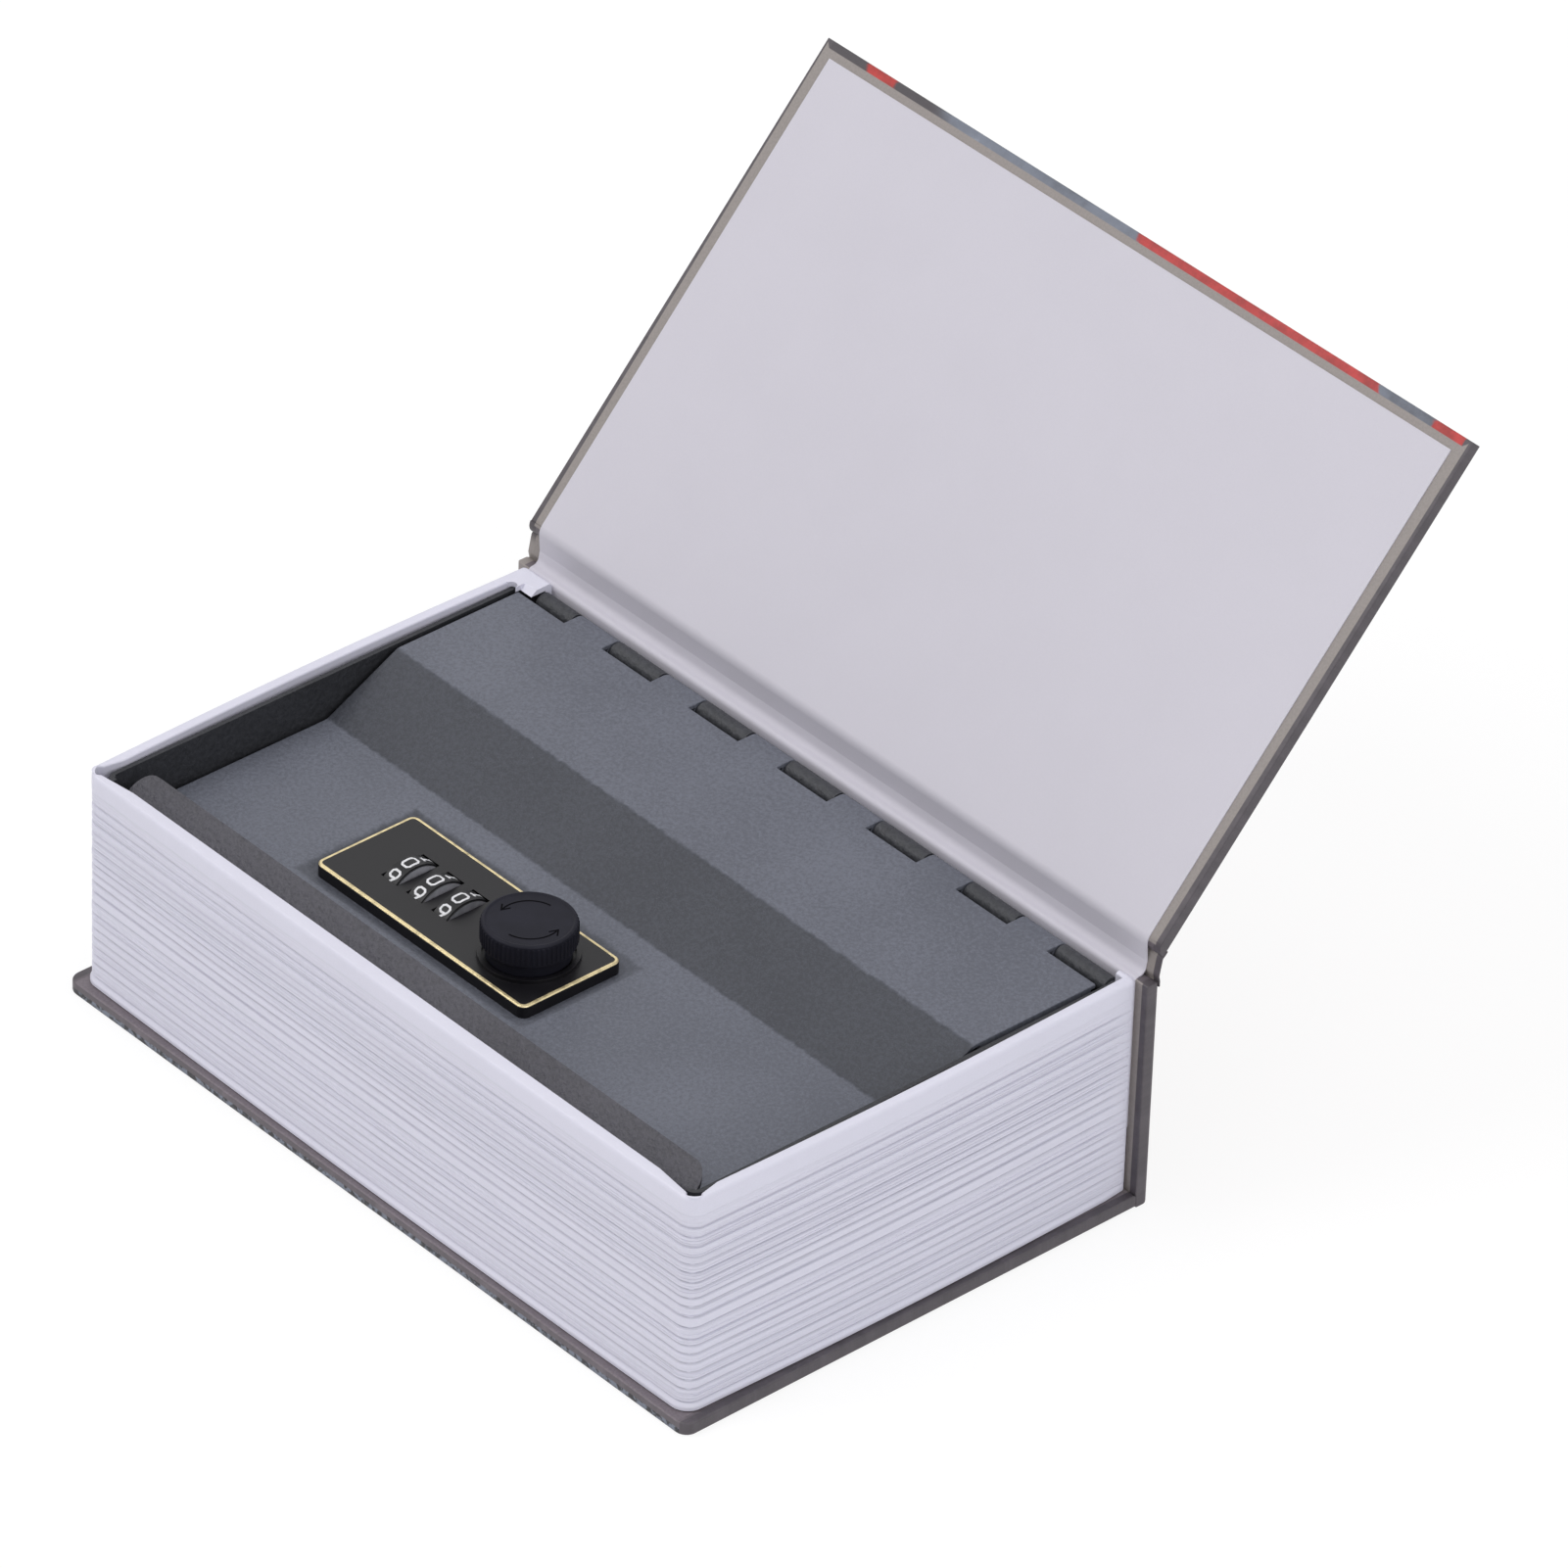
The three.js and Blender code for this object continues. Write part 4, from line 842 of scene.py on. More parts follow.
def joint_papers(sizes):
    """The paper from behind the hinge over the spine's top, up the joint and over the front board."""
    liner_low, liner_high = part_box("hinge_liner")
    half = liner_high.x
    thick = sizes.paper
    inside = liner_low.y + thick / 2
    over = liner_high.z - thick / 2
    strip_middle = on_strip(STRIP_LENGTH / 2, PAPER_ON_STRIP + thick / 2)
    turn = on_strip(0, PAPER_ON_STRIP + thick / 2)
    slope = (strip_middle - turn).normalized()
    turn = turn + slope * ((over - turn.y) / slope.y)
    corners = [(inside, liner_low.z), (inside, over), turn, strip_middle]
    path = rounded(corners, (1.1 * MM, 2.2 * MM), 8, 0.6)
    low = sheet("spine_fold_paper", finely(path, 2 * MM), half, thick, "paper")
    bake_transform(low)
    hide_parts("hinge_liner", "joint_paper")
    board = BOARD_INSIDE + thick / 2
    corners = [strip_middle, on_cover(1.4 * MM, board), on_cover(cover_reach() - sizes.margin, board)]
    path = rounded(corners, (3 * MM, ), 10)
    high = sheet("front_paper", finely(path, 3 * MM), half, thick, "paper", 60)
    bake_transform(high)
    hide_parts("front_endpaper")


def joint_cloths():
    """The printed cloth over the joint, from the spine's top to the front board."""
    high_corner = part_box("spine_wrap")[1]
    half = high_corner.x
    thick = 0.32 * MM
    centre = high_corner.y - thick / 2
    turns = (0.9 * MM, 0.9 * MM)
    middle = on_strip(STRIP_LENGTH / 2, 0.075 * MM)
    foot, top = (centre, high_corner.z - 1.2 * MM), (centre, high_corner.z)
    path = rounded([foot, top, on_strip(0.3 * MM, 0.08 * MM), middle], turns)
    low = sheet("spine_fold_cloth", path, half, thick, "print")
    print_along(low, path, path[-1], STRIP_LENGTH / 2)
    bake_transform(low)
    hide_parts("joint_cloth")
    under = -0.13 * MM
    crease = on_strip(STRIP_LENGTH, 0.02 * MM)
    path = rounded([middle, crease, on_cover(0.6 * MM, under), on_cover(1.6 * MM, under)], turns)
    high = sheet("board_fold_cloth", path, half, thick, "print")
    print_along(high, path, path[0], STRIP_LENGTH / 2)
    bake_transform(high)


# Page block


def corner_points(x, y, radius, start, steps):
    """Places and outward directions round one corner."""
    angles = [start + math.pi / 2 * step / steps for step in range(steps + 1)]
    return [(x + math.cos(a) * radius, y + math.sin(a) * radius, math.cos(a), math.sin(a)) for a in angles]


def wall_points(start, end, normal, count, bow=0.0):
    """Places and outward directions along one wall, without its ends."""
    made = []
    for step in range(1, count):
        share = step / count
        push = bow * math.sin(math.pi * share)
        at = start.lerp(end, share) + normal * push
        made.append((at.x, at.y, normal.x, normal.y))
    return made


def block_rows(sizes, rear, rim):
    """Round the block: each column's outer and inner place, its outward direction and the wall's top."""
    rows = []
    round_f, round_r = sizes.front_round, sizes.rear_round
    front = -sizes.fore
    inner_x, inner_y = sizes.half - sizes.side_wall, front + sizes.fore_wall

    def add(places, inner, top=rim):
        rows.extend((*place, *within, top) for place, within in zip(places, inner))

    def front_corner(side):
        turn = -math.pi / 2 if side > 0 else math.pi
        steps = 16
        outer = corner_points(side * (sizes.half - round_f), front + round_f, round_f, turn, steps)
        middle = turn + math.pi / 4
        x, y = side * (inner_x + 0.3 * MM), inner_y - 0.3 * MM
        angles = [middle + math.radians(-105 + 210 * step / steps) for step in range(steps + 1)]
        add(outer, [(x + math.cos(a) * sizes.notch, y + math.sin(a) * sizes.notch) for a in angles])

    def side_wall(side):
        start, end = Vector((side * sizes.half, front + round_f)), Vector((side * sizes.half, rear - round_r))
        places = wall_points(start, end, Vector((side, 0)), 24, sizes.end_bow)
        inner = [(x - side * sizes.side_wall, y) for x, y, _, _ in places]
        add(places if side > 0 else places[::-1], inner if side > 0 else inner[::-1])

    def rear_corner(side):
        turn = 0 if side > 0 else math.pi / 2
        outer = corner_points(side * (sizes.half - round_r), rear - round_r, round_r, turn, 6)
        within = (side * inner_x, rear - sizes.rear_wall)
        add(outer, [within] * 7)

    front_corner(1)
    side_wall(1)
    rear_corner(1)
    for x, top in ((sizes.cut_right, rim), (sizes.cut_right, sizes.cut_level), (0, sizes.cut_level),
                   (-sizes.cut_left, sizes.cut_level), (-sizes.cut_left, rim)):
        add([(x, rear, 0, 1)], [(x, rear - sizes.rear_wall)], top)
    rear_corner(-1)
    side_wall(-1)
    front_corner(-1)
    low, high = Vector((round_f - sizes.half, front)), Vector((sizes.half - round_f, front))
    places = wall_points(low, high, Vector((0, -1)), 28, sizes.fore_bow)
    add(places, [(x * inner_x / sizes.half, inner_y) for x, _, _, _ in places])
    return np.array(rows)


def make_page_block(sizes):
    """The moulded frame: ribs on three sides, a rounded rim, corner notches and a cut-out behind the lid."""
    low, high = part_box("page_block")
    base, rim = low.z, high.z
    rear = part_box("hinge_liner")[0].y - 0.05 * MM
    rows = block_rows(sizes, rear, rim)
    count = len(rows)
    outer, outs, inner, tops = rows[:, 0:2], rows[:, 2:4], rows[:, 4:6], rows[:, 6]
    rounding = [(0.9, 0.0), (0.62, 0.05), (0.34, 0.17), (0.14, 0.36), (0.0, 0.62)]
    levels = 400
    walls = list(np.linspace(base, rim - rounding[0][0] * MM, levels))[:-1]
    rings = [(outer, z, 0.0) for z in walls]
    rings += [(outer, rim - drop * MM, inset * MM) for drop, inset in rounding]
    inner_rounding = [(0.0, 0.45), (0.16, 0.2), (0.45, 0.0)]
    rings += [(inner, rim - drop * MM, -inset * MM) for drop, inset in inner_rounding]
    rings += [(inner, base, 0.0)]
    points = []
    for line, z, inset in rings:
        points += [(x, y, level) for (x, y), level in zip(line - outs * inset, np.minimum(z, tops))]
    faces = []
    for ring in range(len(rings)):
        after = (ring + 1) % len(rings)
        for i in range(count):
            j = (i + 1) % count
            faces.append((ring * count + i, ring * count + j, after * count + j, after * count + i))
    mesh = bpy.data.meshes.new("page_block_shell")
    mesh.from_pydata(points, [], faces)
    mask = np.clip((rear - sizes.rib_stop - outer[:, 1]) / (0.8 * MM) + 0.5, 0, 1)
    ribbed = np.zeros(len(points), np.float32)
    ribbed[:count * len(walls)] = np.tile(mask, len(walls))
    outward = np.zeros((len(points), 3), np.float32)
    outward[:, :2] = np.tile(outs, (len(rings), 1))
    mesh.attributes.new("ribbed", "FLOAT", "POINT").data.foreach_set("value", ribbed)
    mesh.attributes.new("outward", "FLOAT_VECTOR", "POINT").data.foreach_set("vector", outward.ravel())
    shell = as_object("page_block_shell", mesh, "pages")
    grow_ribs(shell, sizes, base, rim)
    tidy_mesh(shell.data)
    settled(shell, 45)
    seat(shell, "base", "page_plastic", "page_block")
    make_rim_corner(sizes, rear, rim)


def make_rim_corner(sizes, rear, rim):
    """The filled corner of the rim behind the lid's left end, with a sloped front and a round slot end."""
    wall_x, cut_x = sizes.side_wall / 2 - sizes.half, 0.01 * MM - sizes.cut_left
    side_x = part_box("lid")[0].x - 0.15 * MM
    back, front = rear - 0.8 * MM, rear - 6.5 * MM
    reach = (side_x + sizes.half - sizes.side_wall) / 2
    turns = [math.pi * step / 10 for step in range(11)]
    slot = [(side_x - reach - reach * math.cos(a), front + reach * math.sin(a)) for a in turns]
    points = []
    for drop, foot in ((1.15 * MM, 2.85 * MM), (0.012 * MM, 1.5 * MM)):
        edge = LID_HINGE.y - foot
        line = [(wall_x, back), (wall_x, front), *slot, (side_x, edge), (cut_x, edge), (cut_x, back)]
        points += [(x, y, rim - drop) for x, y in line]
    piece = from_points("rim_corner", *prism(points), "pages")
    bevel = piece.modifiers.new("edge", "BEVEL")
    bevel.width = 0.15 * MM
    bevel.segments = 2
    settled(piece)
    seat(piece, "base", "page_plastic")


def prism(points):
    """The faces between a low and a high outline, whose points follow each other in one list."""
    n = len(points) // 2
    faces = [(i, (i + 1) % n, n + (i + 1) % n, n + i) for i in range(n)]
    return points, faces + [tuple(range(n)), tuple(range(n, 2 * n))]


def geometry_tree(name, piece, inputs):
    """A geometry node tree on a piece, with named inputs set on its modifier, and its input sockets."""
    group = bpy.data.node_groups.new(name, "GeometryNodeTree")
    group.interface.new_socket("Geometry", in_out="OUTPUT", socket_type="NodeSocketGeometry")
    group.interface.new_socket("Geometry", in_out="INPUT", socket_type="NodeSocketGeometry")
    modifier = piece.modifiers.new(name, "NODES")
    kinds = {int: "NodeSocketInt", float: "NodeSocketFloat"}
    for label, value in inputs.items():
        kind = "NodeSocketMaterial" if isinstance(value, bpy.types.Material) else kinds[type(value)]
        socket = group.interface.new_socket(label, in_out="INPUT", socket_type=kind)
        if kind != "NodeSocketMaterial":
            socket.default_value = value
    modifier.node_group = group
    for item in group.interface.items_tree:
        if item.in_out == "INPUT" and item.name in inputs:
            modifier[item.identifier] = inputs[item.name]
    tree = Tree(group)
    source = group.nodes.new("NodeGroupInput")
    sockets = {output.name: Value(tree, output) for output in source.outputs if output.name}
    return tree, sockets


def finish_tree(tree, geometry, material):
    """Realizes what was instanced, gives it its material and closes the tree."""
    real = tree.node("GeometryNodeRealizeInstances", {}, {0: geometry})
    dressed = tree.node("GeometryNodeSetMaterial", {}, {"Geometry": real, "Material": material})
    tree.node("NodeGroupOutput", {}, {0: dressed})


def rib_layer(tree, height, count, width):
    """Narrow grooves at uneven heights, count of them to one rib, and a number from 0 to 1 between them."""
    kind, inputs = "ShaderNodeTexVoronoi", {"W": height, "Scale": count}
    edge = tree.node(kind, {"voronoi_dimensions": "1D", "feature": "DISTANCE_TO_EDGE"}, inputs)
    cell = tree.node(kind, {"voronoi_dimensions": "1D", "feature": "F1"}, inputs, out=1)
    shades = tree.tree.nodes.new("ShaderNodeSeparateXYZ")
    tree.feed(shades.inputs[0], cell)
    return 1 - edge.ramp(0.0, width), Value(tree, shades.outputs[0])


def grow_ribs(shell, sizes, base, rim):
    """Pushes the walls in where one rib of pages meets the next, at uneven heights, and flares the foot."""
    tree, given = geometry_tree("page_ribs", shell, {
        "Rib depth": sizes.rib_depth,
        "Rib pitch": sizes.rib_pitch,
        "Plain band": sizes.rib_band,
        "Foot flare": sizes.flare,
        "Foot": float(base),
        "Rim": float(rim),
        "Seed": 4.0,
        "Material": FINISHES["pages"],
    })
    position = tree.node("GeometryNodeInputPosition")
    parts = tree.tree.nodes.new("ShaderNodeSeparateXYZ")
    tree.feed(parts.inputs[0], position)
    z = Value(tree, parts.outputs[2])
    drift = tree.node(
        "ShaderNodeTexNoise", {"noise_dimensions": "3D"}, {"Vector": position, "Scale": 14.0, "Detail": 1.0})
    height = (z - given["Foot"]) / given["Rib pitch"] + (drift - 0.5) * 0.3 + given["Seed"]
    broad, step = rib_layer(tree, height, 1.0, 0.22)
    narrow, fold = rib_layer(tree, height + 7.3, 2.9, 0.3)
    hair, _ = rib_layer(tree, height + 3.1, 6.1, 0.45)
    folded = narrow * fold.ramp(0.3, 0.8)
    thin = hair * (1 - step)
    depth = broad * (0.5 + step * 0.5) + folded * 0.42 + thin * 0.16 + step * 0.22
    below = 1 - (z - given["Rim"] + given["Plain band"]).ramp(-0.0012, 0.0012)
    above = (z - given["Foot"]).ramp(0.0010, 0.0018)
    flare = 1 - (z - given["Foot"]).ramp(0.0006, 0.0014)
    mask = tree.node("GeometryNodeInputNamedAttribute", {"data_type": "FLOAT"}, {"Name": "ribbed"})
    out = tree.node("GeometryNodeInputNamedAttribute", {"data_type": "FLOAT_VECTOR"}, {"Name": "outward"})
    sunk = depth * below * above * mask
    push = tree.node(
        "ShaderNodeVectorMath", {"operation": "SCALE"},
        {0: out, "Scale": flare * given["Foot flare"] * mask - sunk * given["Rib depth"]})
    moved = tree.node("GeometryNodeSetPosition", {}, {"Geometry": given["Geometry"], "Offset": push})
    # The groove value stored here darkens the pages' colour as painted shade.
    groove = (broad * (0.55 + step * 0.45)).at_least(folded * 0.6).at_least(thin * 0.3)
    moved = tree.node(
        "GeometryNodeStoreNamedAttribute", {"data_type": "FLOAT", "domain": "POINT"},
        {"Geometry": moved, "Name": "groove", "Value": groove * below * above * mask})
    finish_tree(tree, moved, given["Material"])
    frozen(shell)


# Steel box and lid


def make_steel(sizes):
    """The steel box, the channel in its front wall and the lid."""
    for name, node, finish, body, slot in (
        ("steel_box", "box_body", "box", "base", "box_steel"),
        ("lid_channel", "strike_channel", "box", "base", "box_steel"),
        ("steel_lid", "lid", "lid", "lid", "lid_steel"),
    ):
        seat(softened(name, node, finish, sizes.sheet_edge), body, slot, node)


# Lock


def make_plate(sizes):
    """Lock plate with its collar, the housing, its cover and the reset slide."""
    for name, node, finish, slot, edge in (
        ("plate", "lock_plate", "lock", "lock_plastic", sizes.plate_edge),
        ("housing", "lock_housing", "lock", "lock_plastic", 0.2 * MM),
        ("housing_lid", "housing_cover", "lock", "lock_plastic", 0.2 * MM),
        ("slide", "reset_lever", "zinc", "hardware", 0.12 * MM),
    ):
        body = "reset_lever" if node == "reset_lever" else "lid"
        seat(softened(name, node, finish, edge), body, slot, node)


def plate_band(name, section, finish):
    """A closed section of [inset, height] points carried round the edge of the lock plate."""
    low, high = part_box("lock_plate")
    centre, half = (low + high) / 2, (high - low) / 2
    plate_round, least_round, steps = 1.8 * MM, 0.25 * MM, 8
    points = []
    for inset, z in section:
        radius = max(plate_round - inset, least_round)
        half_x, half_y = half.x - inset - radius, half.y - inset - radius
        for turn, side_x, side_y in ((0, 1, 1), (1, -1, 1), (2, -1, -1), (3, 1, -1)):
            for step in range(steps + 1):
                angle = math.pi / 2 * (turn + step / steps)
                points.append((centre.x + side_x * half_x + radius * math.cos(angle),
                               centre.y + side_y * half_y + radius * math.sin(angle), z))
    around, rings = 4 * (steps + 1), len(section)
    faces = []
    for ring in range(rings):
        first, second = ring * around, (ring + 1) % rings * around
        for i in range(around):
            j = (i + 1) % around
            faces.append((first + i, first + j, second + j, second + i))
    return settled(from_points(name, points, faces, finish), 30)


def make_gold_line(sizes):
    """The gold line on the plate's bevelled edge, and the black bed that fills the plate's groove."""
    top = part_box("gold_line")[1].z - 0.05 * MM
    wide = sizes.line_width / MM
    bed = [(0.45, -0.36), (0.45, -0.004), (1.56, -0.004), (1.56, -0.36)]
    line = [(0.03, -0.32), (0.1, -0.18), (0.32, 0.015), (wide - 0.06, 0.045), (wide, 0.01), (wide, -0.2),
            (0.2, -0.4)]
    bed, line = ([(inset * MM, top + rise * MM) for inset, rise in section] for section in (bed, line))
    seat(plate_band("line_bed", bed, "lock"), "lid", "lock_plastic")
    seat(plate_band("gold_edge", line, "gold"), "lid", "gold_line", "gold_line")


def circle(work, radius, z, steps=28):
    """A ring of new points in a mesh being made."""
    angles = [2 * math.pi * i / steps for i in range(steps)]
    return [work.verts.new((radius * math.cos(a), radius * math.sin(a), z)) for a in angles]


def bridge(work, first, second):
    """Faces between two rings of as many points."""
    for i in range(len(first)):
        j = (i + 1) % len(first)
        work.faces.new((first[i], first[j], second[j], second[i]))


def screw_mesh(radius, rise):
    """One pan head screw standing on its head, with a cross recess."""
    work = bmesh.new()
    shank, under_head, recess = 1.0 * MM, 1.0 * MM, 0.7 * MM
    head = [(0.62, 0.0), (0.82, 0.06), (0.95, 0.2), (1.0, 0.42), (1.0, 1.0)]
    rings = [circle(work, radius * share, drop * MM) for share, drop in head]
    rings += [circle(work, shank, z) for z in (under_head, rise)]
    for ring, after in zip(rings, rings[1:]):
        bridge(work, ring, after)
    work.faces.new(rings[-1])
    arms = []
    for quarter in range(4):
        turn = quarter * math.pi / 2
        for x, y in ((0.95, -0.2), (0.95, 0.2), (0.26, 0.26)):
            arms.append((x * math.cos(turn) - y * math.sin(turn), x * math.sin(turn) + y * math.cos(turn)))
    mouth = [work.verts.new((x * MM, y * MM, 0)) for x, y in arms]
    floor = [work.verts.new((x * 0.6 * MM, y * 0.6 * MM, recess)) for x, y in arms]
    bridge(work, mouth, floor)
    work.faces.new(floor)
    edges = [work.edges.get((ring[i], ring[(i + 1) % len(ring)]))
             for ring in (rings[0], mouth) for i in range(len(ring))]
    bmesh.ops.triangle_fill(work, use_beauty=True, edges=edges)
    bmesh.ops.recalc_face_normals(work, faces=work.faces)
    mesh = bpy.data.meshes.new("screw")
    work.to_mesh(mesh)
    work.free()
    return mesh


def make_screws():
    """Four pan head screws with a cross recess, set out on the housing's cover."""
    nodes = [f"housing_screw_{number}" for number in range(1, 5)]
    boxes = [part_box(node) for node in nodes]
    low, high = boxes[-1]
    screw = as_object("screw", screw_mesh((high.x - low.x) / 2, high.z - low.z), "zinc")
    spots = bpy.data.meshes.new("housing_screws")
    spots.from_pydata([((a.x + b.x) / 2, (a.y + b.y) / 2, a.z) for a, b in boxes], [], [])
    screws = as_object("housing_screws", spots, "zinc")
    inputs = {"Turn": 0.5, "Seed": 3, "Material": FINISHES["zinc"]}
    tree, given = geometry_tree("screw_places", screws, inputs)
    shape = tree.node("GeometryNodeObjectInfo", {}, {"Object": screw}, out=4)
    spin = tree.node(
        "FunctionNodeRandomValue", {"data_type": "FLOAT"},
        {"Min": 0.0, "Max": 3.1, "Seed": given["Seed"]}, out=1)
    turn = tree.node("ShaderNodeCombineXYZ", {}, {2: spin * given["Turn"]})
    set_out = tree.node(
        "GeometryNodeInstanceOnPoints", {},
        {"Points": given["Geometry"], "Instance": shape, "Rotation": turn})
    finish_tree(tree, set_out, given["Material"])
    frozen(screws)
    bpy.data.objects.remove(screw)
    settled(screws, 35)
    seat(screws, "lid", "hardware", *nodes)


DIGITS = {
    0: [[(0.22, 0), (0.78, 0), (1, 0.16), (1, 0.84), (0.78, 1), (0.22, 1), (0, 0.84), (0, 0.16), (0.22, 0)]],
    1: [[(0.2, 0.78), (0.55, 1), (0.55, 0)], [(0.2, 0), (0.9, 0)]],
    2: [[(0, 0.82), (0.2, 1), (0.8, 1), (1, 0.84), (1, 0.62), (0, 0.12), (0, 0), (1, 0)]],
    3: [[(0, 0.9), (0.2, 1), (0.8, 1), (1, 0.84), (1, 0.64), (0.76, 0.52), (0.36, 0.52)],
        [(0.76, 0.52), (1, 0.38), (1, 0.16), (0.8, 0), (0.2, 0), (0, 0.1)]],
    4: [[(0.72, 0), (0.72, 1), (0, 0.3), (1, 0.3)]],
    5: [[(0.95, 1), (0.08, 1), (0.04, 0.56), (0.76, 0.6), (1, 0.44), (1, 0.16), (0.78, 0), (0.2, 0),
         (0, 0.12)]],
    6: [[(0.72, 1), (0.12, 0.52), (0, 0.34), (0, 0.14), (0.22, 0), (0.78, 0), (1, 0.14), (1, 0.42),
         (0.78, 0.54), (0.12, 0.52)]],
    7: [[(0, 1), (1, 1), (1, 0.9), (0.42, 0)]],
    8: [[(0.22, 0.52), (0.04, 0.64), (0.04, 0.86), (0.22, 1), (0.78, 1), (0.96, 0.86), (0.96, 0.64),
         (0.78, 0.52), (0.22, 0.52), (0, 0.38), (0, 0.14), (0.22, 0), (0.78, 0), (1, 0.14),
         (1, 0.38), (0.78, 0.52)]],
    9: [[(0.28, 0), (0.88, 0.48), (1, 0.66), (1, 0.86), (0.78, 1), (0.22, 1), (0, 0.86), (0, 0.58),
         (0.22, 0.46), (0.88, 0.48)]],
}


def stroke_faces(line, half, points, faces, wrap):
    """A band of even width along a line of points, with mitred corners, laid on a surface by wrap."""
    closed = (line[0] - line[-1]).length < 1e-9
    line = line[:-1] if closed else line
    count = len(line)
    sides = []
    for i, at in enumerate(line):
        before = line[i - 1] if closed or i else at - (line[1] - at)
        after = line[(i + 1) % count] if closed or i + 1 < count else at + (at - line[i - 1])
        first, second = (at - before).normalized(), (after - at).normalized()
        normal = Vector((-first.y - second.y, first.x + second.x)).normalized()
        reach = half / max(0.45, normal.dot(Vector((-first.y, first.x))))
        sides.append((at + normal * reach, at - normal * reach))
    start = len(points)
    for left, right in sides:
        points.extend([wrap(left, 1), wrap(right, 1), wrap(right, 0), wrap(left, 0)])
    last = count if closed else count - 1
    for i in range(last):
        a, b = start + 4 * i, start + 4 * ((i + 1) % count)
        for k in range(4):
            faces.append((a + k, a + (k + 1) % 4, b + (k + 1) % 4, b + k))
    if not closed:
        faces.append(tuple(start + k for k in range(4)))
        faces.append(tuple(start + 4 * (count - 1) + k for k in (3, 2, 1, 0)))


def make_dials(sizes):
    """Three dials with ten digits round each."""
    for number in (1, 2, 3):
        node = f"dial_{number}"
        low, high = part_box(node)
        centre_y, centre_z = (low.y + high.y) / 2, (low.z + high.z) / 2
        radius = (high.z - low.z) / 2
        middle = low.x + 2.1 * MM
        wheel = softened(f"dial_{number}_wheel", node, "dial", 0.12 * MM, 30)
        seat(wheel, node, "dial_plastic", node)
        points, faces = [], []
        stroke_width = sizes.digit_stroke
        wide, tall = sizes.digit_width - stroke_width, sizes.digit_height - stroke_width
        for digit, strokes in DIGITS.items():
            def wrap(point, raised, turn=2 * math.pi * digit / 10):
                angle = turn + point.y / radius
                out = radius + (0.04 * MM if raised else -0.06 * MM)
                return (middle + point.x, centre_y + out * math.sin(angle), centre_z + out * math.cos(angle))

            for stroke in strokes:
                line = finely([Vector(((x - 0.5) * wide, (y - 0.5) * tall)) for x, y in stroke], 0.4 * MM)
                stroke_faces(line, stroke_width / 2, points, faces, wrap)
        mesh = bpy.data.meshes.new(f"dial_{number}_digits")
        mesh.from_pydata(points, [], faces)
        face_outwards(mesh)
        digits = as_object(f"dial_{number}_digits", mesh, "digit")
        seat(digits, node, "dial_plastic")


def make_knob(sizes):
    """The turn knob: a waisted neck, a knurled grip and a dished top with turning marks."""
    low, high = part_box("knob")
    x, y = (low.x + high.x) / 2, (low.y + high.y) / 2
    grip = (high.x - low.x) / 2 - sizes.knurl_height
    wide = grip / MM
    face = wide - 0.75
    dish, bore, bore_depth, steps = 7.45, 4.1, 5.4, 128
    profile = [
        (bore, 0), (7.9, 0), (8.3, 0.25), (8.32, 0.6), (8.42, 1.4), (8.6, 2.3), (8.75, 2.62),
        (wide - 0.25, 2.8), (wide, 3.05), (wide, 7.2), (wide - 0.12, 7.46), (wide - 0.36, 7.63),
        (wide - 0.62, 7.7),
        (face, 7.66), (face - 0.12, 7.5), (face - 0.4, dish), (5.0, dish), (2.0, dish), (0, dish),
    ]
    angles = [2 * math.pi * i / steps for i in range(steps)]
    points = [(x + r * MM * math.cos(a), y + r * MM * math.sin(a), low.z + z * MM)
              for r, z in (*profile, (bore, bore_depth)) for a in angles]
    faces = []
    for ring in range(len(profile) - 1):
        for i in range(steps):
            j = (i + 1) % steps
            faces.append((ring * steps + i, ring * steps + j, (ring + 1) * steps + j, (ring + 1) * steps + i))
    inner = len(profile) * steps
    for i in range(steps):
        j = (i + 1) % steps
        faces.append((i, inner + i, inner + j, j))
    faces.append(tuple(inner + i for i in range(steps)))
    body = settled(from_points("knob_body", points, faces, "knob"), 50)
    seat(body, "lock_knob", "lock_plastic", "knob")
    make_knurls(sizes, x, y, low.z, grip)
    make_turn_marks(x, y, low.z + dish * MM)


